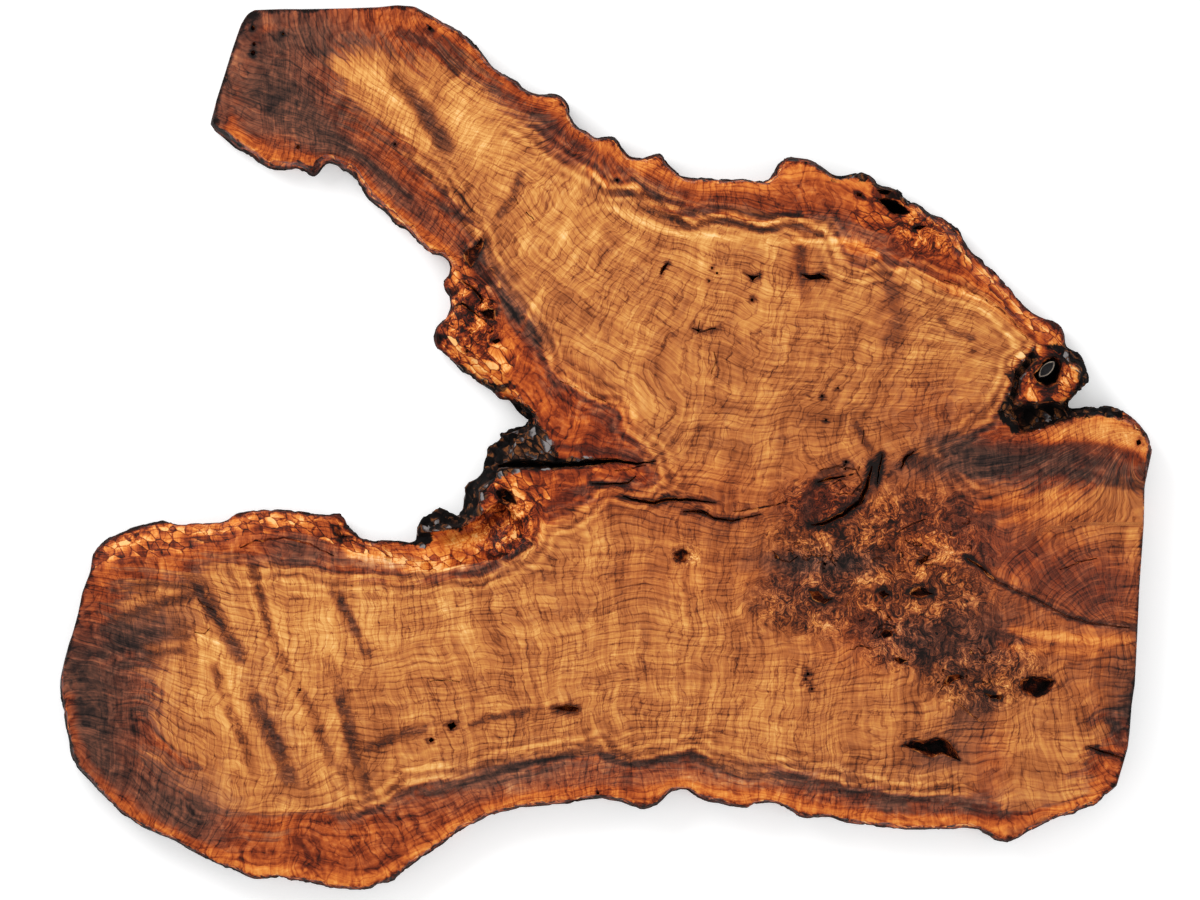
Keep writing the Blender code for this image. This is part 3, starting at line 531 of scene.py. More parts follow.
def chips(spot, run):
    """How deep one place of a rough edge is cut, in millimetres: flat facets at all angles."""
    depth = 0.0
    for size, most in ((CHIP, CHIP_DEPTH), (SPLINTER, SPLINTER_DEPTH)):
        _, centres = noise.voronoi(spot / size)
        centre = centres[0] * size
        tilt = noise.cell_vector(centre)
        depth += most * (0.6 + 1.5 * (spot - centre).dot(tilt - HALF) / size)
        depth += most * 0.5 * noise.cell(centre * 3.0)
    ridge = noise.noise(Vector((run / 34.0, spot.z / 7.0, spot.x / 90.0)))
    return max(depth + 1.1 * ridge - 1.7, 0.0)


def thin_underside(made):
    """Fewer points on the flat underside, which has no relief to carry."""
    data = made.data
    points = coordinates(data)
    group = made.vertex_groups.new(name="underside")
    flat = [int(i) for i in np.nonzero(points[:, 2] < 0.2 * MM)[0]]
    group.add(flat, 1.0, "REPLACE")
    thin = made.modifiers.new("thin underside", "DECIMATE")
    thin.vertex_group = "underside"
    thin.ratio = 1.0 - 0.9 * len(flat) / len(points)
    apply_modifiers(made)


def cut_hollows(made):
    """Cuts every hollow and crack again, crisply, into the fine mesh."""
    mesh = bmesh.new()
    for depth, rim in HOLLOWS.values():
        hollow_cutter(mesh, depth, rim)
    merge_cut(made, mesh, "hollows")
    mesh = bmesh.new()
    for x, y, radius in PIN_HOLES:
        bmesh.ops.create_cone(
            mesh, cap_ends=True, segments=8, radius1=radius * MM, radius2=radius * MM,
            depth=7 * MM,
            matrix=Matrix.Translation(plan(x, y, THICK - 2.5)) @ Matrix.Diagonal((1, 1.2, 1, 1)),
        )
    merge_cut(made, mesh, "pin holes")
    mesh = bmesh.new()
    for depth, run in CRACKS.values():
        crack_cutter(mesh, depth, run)
    merge_cut(made, mesh, "cracks")
    mesh = bmesh.new()
    for run in thin_lines():
        crack_cutter(mesh, LINE_DEPTH, run)
    merge_cut(made, mesh, "thin lines")


def thin_lines():
    """The shallow checks, tapered to their ends, and small curls round the burl's buds."""
    runs = [
        tuple((x, y, width * (0.5 if i in (0, len(run) - 1) else 1.0)) for i, (x, y) in enumerate(run))
        for width, run in LINES
    ]
    chance = random.Random(7)
    for px, py, rx, ry, count in CURLS:
        for _ in range(count):
            turn, out = chance.uniform(0, 6.28), math.sqrt(chance.random())
            x, y = px + rx * out * math.cos(turn), py + ry * out * math.sin(turn)
            size, start = chance.uniform(2.5, 6.0), chance.uniform(0, 6.28)
            sweep = chance.uniform(1.6, 4.2)
            runs.append(tuple(
                (
                    x + size * math.cos(start + sweep * i / 6) * (1 - 0.05 * i),
                    y + size * 0.7 * math.sin(start + sweep * i / 6) * (1 - 0.05 * i),
                    (0.5, 1.1, 1.5, 1.7, 1.5, 1.1, 0.5)[i],
                )
                for i in range(7)
            ))
    return runs


def merge_cut(made, mesh, name):
    """Cuts the forms in `mesh` out of the slab."""
    bmesh.ops.triangulate(mesh, faces=mesh.faces[:])
    bmesh.ops.recalc_face_normals(mesh, faces=mesh.faces[:])
    cutter = placed(mesh, name)
    cut = made.modifiers.new(name, "BOOLEAN")
    cut.operation = "DIFFERENCE"
    cut.solver = "MANIFOLD"
    cut.object = cutter
    apply_modifiers(made)
    bpy.data.objects.remove(cutter)


def finer(line, closed, size):
    """The same line with points every `size` millimetres, each nudged a little."""
    places = []
    pairs = list(zip(line, line[1:] + line[:1])) if closed else list(zip(line, line[1:]))
    for start, end in pairs:
        start, end = Vector(start), Vector(end)
        count = max(1, round((end.xy - start.xy).length / size))
        for i in range(count):
            spot = start.lerp(end, i / count)
            push = noise.noise_vector(Vector((spot.x / 3.0, spot.y / 3.0, 5.0)))
            spot.x += push.x * 1.3
            spot.y += push.y * 1.3
            places.append(spot)
    if not closed:
        places.append(Vector(line[-1]))
    return places


def hollow_cutter(mesh, depth, rim):
    """A form that narrows as it goes down from the rim, with uneven walls."""
    places = finer(rim, True, 3.0)
    middle = sum(places, Vector((0.0, 0.0))) / len(places)
    loops = []
    for height, size in (
        (THICK + 3.0, 1.12), (THICK + 0.2, 1.06), (THICK - 0.25 * depth, 0.96),
        (THICK - 0.6 * depth, 0.84), (THICK - depth, 0.5),
    ):
        loop = []
        for place in places:
            wobble = 1.0 + 0.10 * noise.noise(Vector((place.x / 4.0, place.y / 4.0, height / 6.0)))
            spot = middle + (place - middle) * size * (wobble if height < THICK else 1.0)
            loop.append(plan(spot.x, spot.y, height))
        loops.append(loop)
    draw_out(mesh, loops)


def crack_cutter(mesh, depth, run):
    """A blade that follows the run, deepest where the crack is widest."""
    places = finer(run, False, 4.0)
    widest = max(place.z for place in places)
    sections = []
    for i, place in enumerate(places):
        before, after = places[max(i - 1, 0)], places[min(i + 1, len(places) - 1)]
        along = (after.xy - before.xy).normalized()
        across = Vector((-along.y, along.x)) * (0.72 * place.z + 0.15)
        bottom = THICK - depth * (0.3 + 0.7 * place.z / widest)
        corners = (
            (1.0, THICK + 3.0), (-1.0, THICK + 3.0), (-0.8, THICK - 2.0), (0.1, bottom),
            (0.8, THICK - 2.0),
        )
        sections.append([
            plan(place.x + across.x * side, place.y + across.y * side, height)
            for side, height in corners
        ])
    draw_out(mesh, sections)


def bark_eye():
    """The eye that stands in the knot's hole: an almond cup of dead bark."""
    loops = []
    for height, size in EYE_LOOPS:
        loop = []
        for i in range(24):
            turn = math.tau * i / 24
            along = EYE_LONG * size * math.cos(turn)
            across = math.copysign(EYE_WIDE * size * abs(math.sin(turn)) ** 1.4, math.sin(turn))
            spot = Vector((EYE[0] + 0.7 * (along + across), EYE[1] - 0.7 * (along - across), height))
            loop.append(plan(*(spot + noise.noise_vector(spot / 3.0) * 0.5)))
        loops.append(loop)
    mesh = bmesh.new()
    draw_out(mesh, loops)
    bmesh.ops.recalc_face_normals(mesh, faces=mesh.faces[:])
    eye = placed(mesh, "knot_eye")
    eye.data.shade_smooth()
    eye.data.materials.append(dead_bark())
    return eye


def placed(mesh, name):
    """Ends a bmesh as an object in the scene."""
    data = bpy.data.meshes.new(name)
    mesh.to_mesh(data)
    mesh.free()
    made = bpy.data.objects.new(name, data)
    bpy.context.scene.collection.objects.link(made)
    return made


def draw_out(mesh, loops):
    """A closed form: a face with the first loop's corners, extruded to each loop in turn."""
    face = mesh.faces.new([mesh.verts.new(corner) for corner in loops[0]])
    rim = list(face.edges)
    for loop in loops[1:]:
        face = bmesh.ops.extrude_discrete_faces(mesh, faces=[face])["faces"][0]
        for vertex, corner in zip(face.verts, loop):
            vertex.co = corner
    bmesh.ops.contextual_create(mesh, geom=rim)


def apply_modifiers(made):
    """Makes the object's mesh what its modifiers give."""
    graph = bpy.context.evaluated_depsgraph_get()
    shaped = bpy.data.meshes.new_from_object(made.evaluated_get(graph))
    made.modifiers.clear()
    old = made.data
    made.data = shaped
    shaped.name = made.name
    bpy.data.meshes.remove(old)


def coordinates(data):
    """The places of a mesh's points, one row each."""
    found = np.empty(len(data.vertices) * 3)
    data.vertices.foreach_get("co", found)
    return found.reshape(-1, 3)


def photo_places(points):
    """Photograph pixels and heights in millimetres of points in metres."""
    return points[:, 0] / MM + MIDDLE_X, MIDDLE_Y - points[:, 1] / MM, points[:, 2] / MM


def signed_distance(x, y, loop):
    """Millimetres to a closed line, above zero inside it."""
    near = np.full(len(x), 1e9)
    inside = np.zeros(len(x), bool)
    for (ax, ay), (bx, by) in zip(loop, loop[1:] + loop[:1]):
        near = np.minimum(near, from_stroke(x, y, ax, ay, bx, by))
        if ay != by:
            crosses = (ay > y) != (by > y)
            inside ^= crosses & (x < (bx - ax) * (y - ay) / (by - ay) + ax)
    return np.where(inside, near, -near)


def from_stroke(x, y, ax, ay, bx, by):
    """Distance to one straight stroke."""
    run_x, run_y = bx - ax, by - ay
    part = ((x - ax) * run_x + (y - ay) * run_y) / max(run_x**2 + run_y**2, 1e-9)
    part = np.clip(part, 0.0, 1.0)
    return np.hypot(x - ax - run_x * part, y - ay - run_y * part)


def from_run(x, y, run):
    """Distance to an open line."""
    return np.min(
        [from_stroke(x, y, *start, *end) for start, end in zip(run, run[1:])], axis=0,
    )


def from_runs(x, y, runs):
    """Distance to the nearest of several open lines."""
    return np.min([from_run(x, y, run) for run in runs], axis=0)


def deepest(x, y, loops):
    """Millimetres inside the loop that each point lies deepest in, below zero outside all."""
    return np.max([signed_distance(x, y, loop) for loop in loops], axis=0)


def in_ovals(x, y, ovals, reach):
    """1 in the middle of each oval, down to 0 where the squares of its shares pass `reach`."""
    return np.max([
        np.clip(reach - ((x - px) / rx) ** 2 - ((y - py) / ry) ** 2, 0, 1)
        for px, py, rx, ry in ovals
    ], axis=0)


def neighbours(values):
    """The four neighbours of each cell of a grid, its own value standing in past the rim."""
    up = np.vstack([values[:1], values[:-1]])
    down = np.vstack([values[1:], values[-1:]])
    left = np.hstack([values[:, :1], values[:, :-1]])
    right = np.hstack([values[:, 1:], values[:, -1:]])
    return up, down, left, right


def grain_fields(node):
    """Three fields over the slab's plan that give the grain its run.

    `rim` counts millimetres in from the outline. `ring` rises from the outer edge of the
    arm's stem to the seam and the notch, and on to the outer edge of the lobe's stem, so
    its contours are growth rings. `along` runs at right angles to them, from the sawn
    ends of the arm and the lobe to the right hand end.
    """
    tree = BVHTree.FromObject(node, bpy.context.evaluated_depsgraph_get())
    xs = np.arange(44.0, 1172.0, CELL)
    ys = np.arange(-8.0, 906.0, CELL)
    wood = np.zeros((len(ys), len(xs)), bool)
    for j, y in enumerate(ys):
        for i, x in enumerate(xs):
            hit = tree.ray_cast(plan(x, y, 12.0), Vector((0.0, 0.0, -1.0)))
            wood[j, i] = hit[0] is not None
    grid_x, grid_y = np.meshgrid(xs, ys)
    shape = wood.shape

    # A value that fades inwards from 1 outside, so its logarithm counts millimetres in.
    fade = np.where(wood, 0.5, 1.0)
    pull = 4.0 + (CELL / RIM_REACH) ** 2
    for _ in range(1400):
        fade = np.where(wood, sum(neighbours(fade)) / pull, 1.0)
    rim = -RIM_REACH * np.log(np.maximum(fade, 1e-12))

    places = grid_x.ravel(), grid_y.ravel()
    seam = from_run(*places, SEAM).reshape(shape) < CELL * 0.75
    ends = from_runs(*places, SAWN + (LOBE_END,)).reshape(shape)
    outside = ~wood & (ends > 9.0)
    notch = (grid_x < 600) & (grid_y > 118) & (grid_y < 562)
    inlet = (grid_x > 1040) & (grid_y > 384) & (grid_y < 440)
    held = np.where(notch | inlet, ACROSS, np.where(grid_y < 400, 0.0, 2 * ACROSS))
    held = np.where(seam, ACROSS, held)
    ring = relax(held, wood & ~seam, outside | seam, grid_y * 0.65)

    first = ((grid_x < 262) & (grid_y < 150)) | ((grid_x < 100) & (grid_y > 540))
    last = grid_x > 1128
    held = np.where(last, 1000.0, 0.0)
    along = relax(held, wood & ~seam, first | last, grid_x - 200.0)
    return xs, ys, rim, ring, along


def relax(held, free, known, values):
    """Fills the free cells evenly between the known ones, coarse cells first."""
    for step in (8, 4, 2, 1):
        small = values[::step, ::step].copy()
        fixed, wanted = known[::step, ::step], held[::step, ::step]
        open_cells = (free | known)[::step, ::step]
        use = [part.astype(float) for part in neighbours(open_cells)]
        counts = np.maximum(sum(use), 1.0)
        for _ in range(1500 if step > 2 else 260):
            small = sum(a * b for a, b in zip(neighbours(small), use)) / counts
            small = np.where(fixed, wanted, small)
        rows = np.arange(values.shape[0])[:, None] / step
        columns = np.arange(values.shape[1])[None, :] / step
        values = sample(small, columns + 0 * rows, rows + 0 * columns)
    return values


def sample(grid, column, row):
    """Reads a grid between its points."""
    column = np.clip(column, 0, grid.shape[1] - 1.001)
    row = np.clip(row, 0, grid.shape[0] - 1.001)
    i, j = column.astype(int), row.astype(int)
    a, b = column - i, row - j
    top = grid[j, i] * (1 - a) + grid[j, i + 1] * a
    low = grid[j + 1, i] * (1 - a) + grid[j + 1, i + 1] * a
    return top * (1 - b) + low * b


def patch_fields(x, y):
    """Lighter, redder and purple-grey, summed over the soft patches."""
    found = np.zeros((3, len(x)))
    for px, py, rx, ry, turn, *shares in PATCHES:
        c, s = math.cos(math.radians(turn)), math.sin(math.radians(turn))
        u = ((x - px) * c - (y - py) * s) / rx
        v = ((x - px) * s + (y - py) * c) / ry
        found += np.outer(shares, np.exp(-((u * u + v * v) ** 1.3) * 0.9))
    return found


def band_field(x, y, bands):
    """How strongly each point lies in one of the bands."""
    found = np.zeros(len(x))
    for half, strength, run in bands:
        near = np.clip(1.6 - from_run(x, y, run) / half, 0, 1)
        found = np.maximum(found, strength * near)
    return found


def mark_wood(made, fields):
    """Stores what the material needs to know about each point."""
    xs, ys, rim, ring, along = fields
    x, y, z = photo_places(coordinates(made.data))
    column, row = (x - xs[0]) / CELL, (y - ys[0]) / CELL
    ring, along = sample(ring, column, row), sample(along, column, row)
    fan = signed_distance(x, y, FAN) > 0
    out_x, out_y = x - FAN_MIDDLE[0], y - FAN_MIDDLE[1]
    sawn = from_runs(x, y, SAWN)
    ends = np.minimum(sawn, from_run(x, y, LOBE_END))
    lighter, redder, greyer = patch_fields(x, y)
    facet, chip = chip_marks(x, y, z)
    marks = {
        "rim": sample(rim, column, row),
        "ring": np.where(fan, np.hypot(out_x, out_y), ring),
        "along": np.where(fan, np.arctan2(out_y, out_x + 0.01) * FAN_TURN, along),
        "heart": np.clip(signed_distance(x, y, HEART), -90, 90),
        "sawn": np.clip((24.0 - sawn) / 12.0, 0, 1),
        "torn": np.clip((170.0 - ends) / 60.0, 0, 1),
        "lighter": lighter,
        "redder": redder,
        "greyer": greyer,
        "burl": in_ovals(x, y, BURLS, 1.35),
        "bark": np.clip(deepest(x, y, BARK), -40, 40),
        "streak": band_field(x, y, STREAKS),
        "pale": band_field(x, y, PALE_AND_SHEEN),
        "facet": facet,
        "chip": chip,
        # The underside, up to 3 mm, shows no stain.
        "hollow": np.where(z > 3.0, np.clip(openings(x, y), -40, 20), -40.0),
        "depth": THICK - z,
    }
    for name in MARKS:
        kept = made.data.attributes.new(name, "FLOAT", "POINT")
        kept.data.foreach_set("value", marks[name].astype(np.float32))


def openings(x, y):
    """Millimetres inside the nearest hollow, pin hole or crack, below zero outside all."""
    found = deepest(x, y, [rim for _, rim in HOLLOWS.values()])
    for px, py, radius in PIN_HOLES:
        found = np.maximum(found, radius - np.hypot(x - px, y - py))
    for _, run in CRACKS.values():
        for (ax, ay, aw), (bx, by, bw) in zip(run, run[1:]):
            found = np.maximum(found, (aw + bw) / 4 - from_stroke(x, y, ax, ay, bx, by))
    return found


def chip_marks(x, y, z):
    """Where the wood is chipped, and a tone for each large chip of the rough edges: its own tone with
    painted light, lighter towards one side.
    """
    facet = np.clip((THICK - 0.6 - z) / 2.5, 0, 1)
    facet = np.maximum(facet, in_ovals(x, y, CHIPPED, 1.5))
    chip = np.zeros(len(x))
    for i in np.nonzero((facet > 0) & (z > 1.0))[0]:
        spot = Vector((x[i], y[i], z[i]))
        _, centres = noise.voronoi(spot / CHIP)
        centre = centres[0] * CHIP
        tilt = noise.cell_vector(centre + Vector((7.0, 3.0, 1.0)))
        lean = (spot - centre).dot(tilt - HALF) / CHIP
        chip[i] = noise.cell(centre * 3.0) - 0.5 + 1.6 * lean
    return facet, chip


def linear(code):
    """An sRGB hex colour as the linear colour that Blender's sockets hold."""
    found = []
    for i in (1, 3, 5):
        value = int(code[i:i + 2], 16) / 255
        found.append(value / 12.92 if value <= 0.04045 else ((value + 0.055) / 1.055) ** 2.4)
    return (*found, 1.0)


def add_node(tree, kind, inputs, output=0, stops=(), **settings):
    """Adds a node with its settings and links, and returns one of its outputs.

    An input takes a value or another node's output. `stops` are a colour ramp's.
    """
    made = tree.nodes.new(kind)
    for name, value in settings.items():
        setattr(made, name, value)
    if stops:
        points = made.color_ramp.elements
        while len(points) < len(stops):
            points.new(0.5)
        for point, (place, code) in zip(points, stops):
            point.position = place
            point.color = linear(code)
    for name, value in inputs.items():
        if isinstance(value, bpy.types.NodeSocket):
            tree.links.new(value, made.inputs[name])
        else:
            made.inputs[name].default_value = value
    return made.outputs[output]


def weighed_sum(add, start, *parts):
    """A start plus each part times its weight. All of them are values or outputs."""
    for part, weight in parts:
        start = add(MATH, {0: part, 1: weight, 2: start}, operation="MULTIPLY_ADD")
    return start


def swings(add, *noises):
    """Noises about zero, each from its place, its size there, its detail and its roughness."""
    made = []
    for place, size, detail, roughness in noises:
        raw = add(
            NOISE,
            {"Vector": place, "Scale": 1 / size, "Detail": detail, "Roughness": roughness},
        )
        made.append(weighed_sum(add, -0.5, (raw, 1.0)))
    return made


def hair_lines(add, swing, width):
    """1 on the thin lines where a noise passes zero, fading to 0 at `width`."""
    size = add(MATH, {0: swing}, operation="ABSOLUTE")
    return add(RANGE, {0: size, 2: width, 3: 1.0, 4: 0.0}, **SMOOTH)


def teeth(add, value, start):
    """Once for every whole number, rises slowly from `start` to 1 and drops at once."""
    part = add(MATH, {0: value}, operation="FRACT")
    rise = add(RANGE, {0: part, 1: start, 2: 0.93}, **SMOOTH)
    return weighed_sum(add, 0.0, (rise, add(RANGE, {0: part, 1: 1.0, 2: 0.94}, **SMOOTH)))


def plates(add, mm, nudge):
    """Chips that lie like bricks, down to the right.

    Gives how high each point is on its chip, the chip's own tone from -0.5 to 0.5, and 1
    in the dark gaps. The walnut paints light with the first, lighter up each chip, and paints
    shade with the last, dark in the gaps.
    """
    turned = add(
        "ShaderNodeVectorRotate", {"Vector": mm, "Angle": math.radians(40)},
        rotation_type="Z_AXIS",
    )
    shift = add(VECTOR, {
        0: weighed_sum(add, 0.0, (nudge, 0.45)), 1: weighed_sum(add, 0.0, (nudge, -0.35)),
    })
    spread = [1 / size for size in PLATE]
    place = add(VECTOR_MATH, {0: turned, 1: spread, 2: shift}, operation="MULTIPLY_ADD")
    chip = add(VORONOI, {"Vector": place, "Scale": 1.0}).node.outputs
    tilt = add(VECTOR_MATH, {0: chip["Color"], 1: (0.5, 0.5, 0.5)}, operation="SUBTRACT")
    off = add(VECTOR_MATH, {0: place, 1: chip["Position"]}, operation="SUBTRACT")
    lean = add(VECTOR_MATH, {0: off, 1: tilt}, "Value", operation="DOT_PRODUCT")
    shade = add(VECTOR_MATH, {0: tilt, 1: (0.7, 0.3, 0.0)}, "Value", operation="DOT_PRODUCT")
    gap = add(VORONOI, {"Vector": place, "Scale": 1.0}, feature="DISTANCE_TO_EDGE")
    return lean, shade, add(RANGE, {0: gap, 1: 0.075, 2: 0.02}, **SMOOTH)


def oiled_walnut():
    """Walnut, sanded and oiled: satin, with growth rings, rays and figure, red outer wood,
    burl, and bark that has grown in."""
    material = bpy.data.materials.new("oiled walnut")
    material.use_nodes = True
    tree = material.node_tree
    surface = tree.nodes["Principled BSDF"].inputs
    add = functools.partial(add_node, tree)
    weigh = functools.partial(weighed_sum, add)
    mark = {name: add("ShaderNodeAttribute", {}, "Fac", attribute_name=name) for name in MARKS}
    burl, depth, heart, rim, torn = (mark[name] for name in ("burl", "depth", "heart", "rim", "torn"))
    place = add("ShaderNodeTexCoord", {}, "Object")
    mm = add(VECTOR_MATH, {0: place, 1: (1000.0, 1000.0, 1000.0)}, operation="MULTIPLY")
    warp = add(NOISE, {"Vector": mm, "Scale": 1 / 28.5, "Detail": 3.0}, "Color")
    drift = add(VECTOR_MATH, {0: warp, 1: (60.0, 60.0, 60.0), 2: mm}, operation="MULTIPLY_ADD")
    slow, wave, small, marble, mottle, curls, ring_show, ray_show = swings(
        add, (mm, 111.0, 2.0, 0.5), (mm, 33.0, 3.0, 0.5), (mm, 8.3, 3.0, 0.6),
        (drift, 31.0, 4.0, 0.62), (drift, 11.8, 4.0, 0.62), (drift, 18.0, 1.0, 0.5),
        (mm, 50.0, 1.0, 0.5), (mm, 59.0, 1.0, 0.5),
    )

    # The run of the grain: rings bend slowly, lean as they go down the edge, and curl round
    # the many small buds of the burl.
    buds = add(VORONOI, {"Vector": drift, "Scale": 1 / BUD})
    curl = weigh(0.0, (buds, 60.0), (wave, 50.0))
    ring = weigh(mark["ring"], (slow, 42.0), (wave, 5.5), (depth, -0.45), (burl, curl))
    run = weigh(mark["along"], (slow, 54.0), (wave, 7.0), (small, 1.5))
    grain = add(VECTOR, {0: ring, 1: run, 2: weigh(0.0, (depth, 0.3))})

    # Growth rings: each darkens slowly and ends in a thin dark line. Rays cross them. Over
    # the slab, now the rings show more and now the rays.
    late = teeth(add, weigh(0.0, (ring, 1 / RING_GAP), (small, 0.36)), 0.66)
    ray = teeth(add, weigh(0.0, (run, 1 / RAY_GAP), (small, 0.6), (wave, 1.1)), 0.72)
    ring_show = add(RANGE, {0: ring_show, 1: -0.14, 2: 0.12, 3: 0.15}, **SMOOTH)
    ray_show = add(RANGE, {0: ray_show, 1: 0.14, 2: -0.10, 3: 0.15}, **SMOOTH)
    fibre, bands, rays, columns, hair, check, fingers = swings(add, *(
        (add(VECTOR_MATH, {0: grain, 1: sizes}, operation="DIVIDE"), 1.0, detail, roughness)
        for sizes, detail, roughness in GRAIN_NOISES
    ))
    curl_waves = add(MATH, {0: weigh(32.0, (curls, 64.0))}, operation="SINE")
    burl_tone = weigh(
        -0.06, (marble, 1.6), (mottle, 0.7), (hair_lines(add, mottle, 0.022), -0.26),
        (hair_lines(add, curls, 0.035), -0.36), (curl_waves, 0.13),
    )
    tone = weigh(
        0.605, (mark["lighter"], 0.7), (fibre, 0.42), (bands, 0.42), (rays, 0.37),
        (columns, 0.52), (marble, 0.36), (weigh(0.0, (late, ring_show)), -0.15),
        (weigh(0.0, (ray, ray_show)), -0.15), (hair_lines(add, hair, 0.016), -0.15),
        (hair_lines(add, check, 0.014), -0.13), (burl, burl_tone),
    )

    # Outside the heart line the wood is red and darker. Fingers of it run in along the
    # grain. Pale and dark ripples follow the line, and smoky wood lies just outside it.
    line = weigh(
        heart, (fingers, weigh(60.0, (torn, 60.0))), (wave, 12.0), (small, 6.0),
        (weigh(0.0, (bands, torn)), 40.0),
    )
    outer = add(RANGE, {0: line, 1: weigh(5.0, (torn, 6.0)), 2: weigh(-7.0, (torn, -12.0))}, **SMOOTH)
    ripple = weigh(0.0, (heart, math.tau / RIPPLE_GAP), (wave, 8.8), (small, 2.75))
    ripple = add(MATH, {0: ripple}, operation="SINE")
    for low, high, value in ((34.0, 8.0, heart), (-20.0, -6.0, heart), (0.6, 0.0, torn)):
        ripple = weigh(0.0, (ripple, add(RANGE, {0: value, 1: low, 2: high}, **SMOOTH)))
    smoke = weigh(0.0, (
        add(RANGE, {0: weigh(line, (mottle, 30.0)), 1: -19.0, 2: -3.0}, **SMOOTH),
        add(RANGE, {0: line, 1: 3.0, 2: -4.0}, **SMOOTH),
    ))

    # The edge glows orange a little way in, has a dark skin at the rim, and darkens on its
    # way down. Sawn edges have only the skin.
    edge = weigh(rim, (small, 5.0), (wave, 5.0), (mottle, 8.0))
    glow = weigh(0.0, (outer, add(RANGE, {0: mark["sawn"], 1: 1.0, 2: 0.0}, **SMOOTH)))
    for low, high in ((20.0, 9.0), (3.0, 7.0)):
        glow = weigh(0.0, (glow, add(RANGE, {0: edge, 1: low, 2: high}, **SMOOTH)))
    skin = add(RANGE, {0: weigh(rim, (small, 8.0), (mottle, 7.0)), 1: 6.5, 2: 2.0}, **SMOOTH)
    low = add(RANGE, {0: weigh(depth, (mottle, 34.0), (mark["chip"], 8.0)), 1: 12.0, 2: 34.0}, **SMOOTH)
    low = weigh(0.0, (low, add(RANGE, {0: rim, 1: 16.0, 2: 7.0}, **SMOOTH)))
    low = weigh(0.0, (low, add(RANGE, {0: mark["sawn"], 1: 0.9, 2: 0.2, 3: 0.3}, **SMOOTH)))
    # Pale bands of figure lighten the wood; on the scoop of the live edge the same mark is painted
    # sheen.
    tone = weigh(
        tone, (outer, -0.07), (smoke, -0.09), (ripple, 0.12), (weigh(0.0, (mottle, outer)), 0.65),
        (glow, 0.17), (mark["pale"], 0.17),
    )

    # Streaks of figure, broken up by the grain, and chips.
    broken = add(
        RANGE, {0: weigh(fibre, (rays, 1.0), (mottle, 1.0)), 1: -0.16, 2: 0.16, 3: 0.45, 4: 1.25},
        **SMOOTH,
    )
    streak = weigh(0.0, (mark["streak"], broken))
    rough = weigh(mark["facet"], (small, 0.5), (depth, -0.035))
    rough = add(RANGE, {0: rough, 1: 0.25, 2: 0.6}, **SMOOTH)
    lean, shade, gap = plates(add, mm, small)
    # Chips: each its own tone, lighter up its lean as painted light, and darker in the gaps as painted
    # shade.
    chipped = weigh(
        0.07, (mark["chip"], 0.06), (lean, 1.1), (shade, 0.26), (gap, -0.34), (mottle, -0.30),
    )
    tone = weigh(tone, (streak, -0.40), (rough, chipped))
    # Nothing but the skin, the deep edge and the stains round hollows goes near black.
    least = weigh(0.23, (burl, -0.08), (fibre, 1.1), (mottle, 0.8), (bands, 1.0), (rays, 0.5))
    tone = add(MATH, {0: tone, 1: least, 2: 0.10}, operation="SMOOTH_MAX")
    stain = weigh(mark["hollow"], (wave, 12.0), (fibre, 16.0))
    stain = add(RANGE, {0: stain, 1: -4.5, 2: 0.5}, **SMOOTH)
    tone = weigh(tone, (skin, -0.33), (low, -0.25), (stain, -0.37))

    # Golden inner wood, mahogany outer wood, and the purple-brown of smoky wood.
    golden, mahogany, smoky = (
        add("ShaderNodeValToRGB", {0: tone}, stops=tuple(zip(TONES, codes)))
        for codes in (GOLDEN, MAHOGANY, SMOKY)
    )
    red = weigh(mark["redder"], (outer, 0.85))
    # Pale bands, and the painted sheen on the scoop, turn the colour away from purple-grey.
    grey = weigh(
        mark["greyer"], (smoke, 0.5), (streak, 0.3), (mottle, 1.2), (glow, -0.8), (rough, -0.7),
        (mark["pale"], -0.5),
    )
    colour = add("ShaderNodeMix", {0: red, 6: golden, 7: mahogany}, 2, data_type="RGBA")
    colour = add("ShaderNodeMix", {0: grey, 6: colour, 7: smoky}, 2, data_type="RGBA")

    # Bark and charred edges: near black lumps, brown or a cold grey. Painted light makes each
    # lump lighter and greyer up its lean, and painted shade darkens the gaps and the bark further down.
    barked = weigh(mark["bark"], (mottle, 16.0), (small, 6.0))
    barked = add(RANGE, {0: barked, 1: -1.5, 2: 1.0}, **SMOOTH)
    bark_tone_and_light = weigh(0.64, (mottle, 0.8), (lean, 1.3), (shade, 0.45), (gap, -0.30), (depth, -0.006))
    bark = add("ShaderNodeValToRGB", {0: bark_tone_and_light}, stops=BARK_AND_HIGHLIGHT_TONES)
    # Hollows and cracks: brown wood inside, made darker towards black the deeper it lies as painted
    # shade, and lighter up each chip's lean as painted light.
    sunk = weigh(0.0, (
        add(RANGE, {0: mark["hollow"], 1: -2.2, 2: -0.6}, **SMOOTH),
        add(RANGE, {0: depth, 1: 0.4, 2: 2.0}, **SMOOTH),
    ))
    inside = weigh(0.5, (mottle, 1.0), (lean, 0.3), (depth, -0.012))
    inside = add("ShaderNodeValToRGB", {0: inside}, stops=HOLLOW_AND_SHADE_TONES)
    open_wood = weigh(sunk, (weigh(0.0, (sunk, barked)), -1.0))
    for factor, over in ((barked, bark), (open_wood, inside)):
        colour = add("ShaderNodeMix", {0: factor, 6: colour, 7: over}, 2, data_type="RGBA")
    tree.links.new(colour, surface["Base Color"])

    # The oil lies thin: satin on flat wood, dull on bark, skin and in hollows.
    gloss = add(RANGE, {0: fibre, 1: -0.2, 2: 0.2, 3: 0.42, 4: 0.58}, **SMOOTH)
    gloss = weigh(
        gloss, (barked, 0.35), (sunk, 0.3), (low, 0.35), (skin, 0.3), (mark["pale"], -0.1),
    )
    tree.links.new(gloss, surface["Roughness"])
    surface["Specular IOR Level"].default_value = 0.12
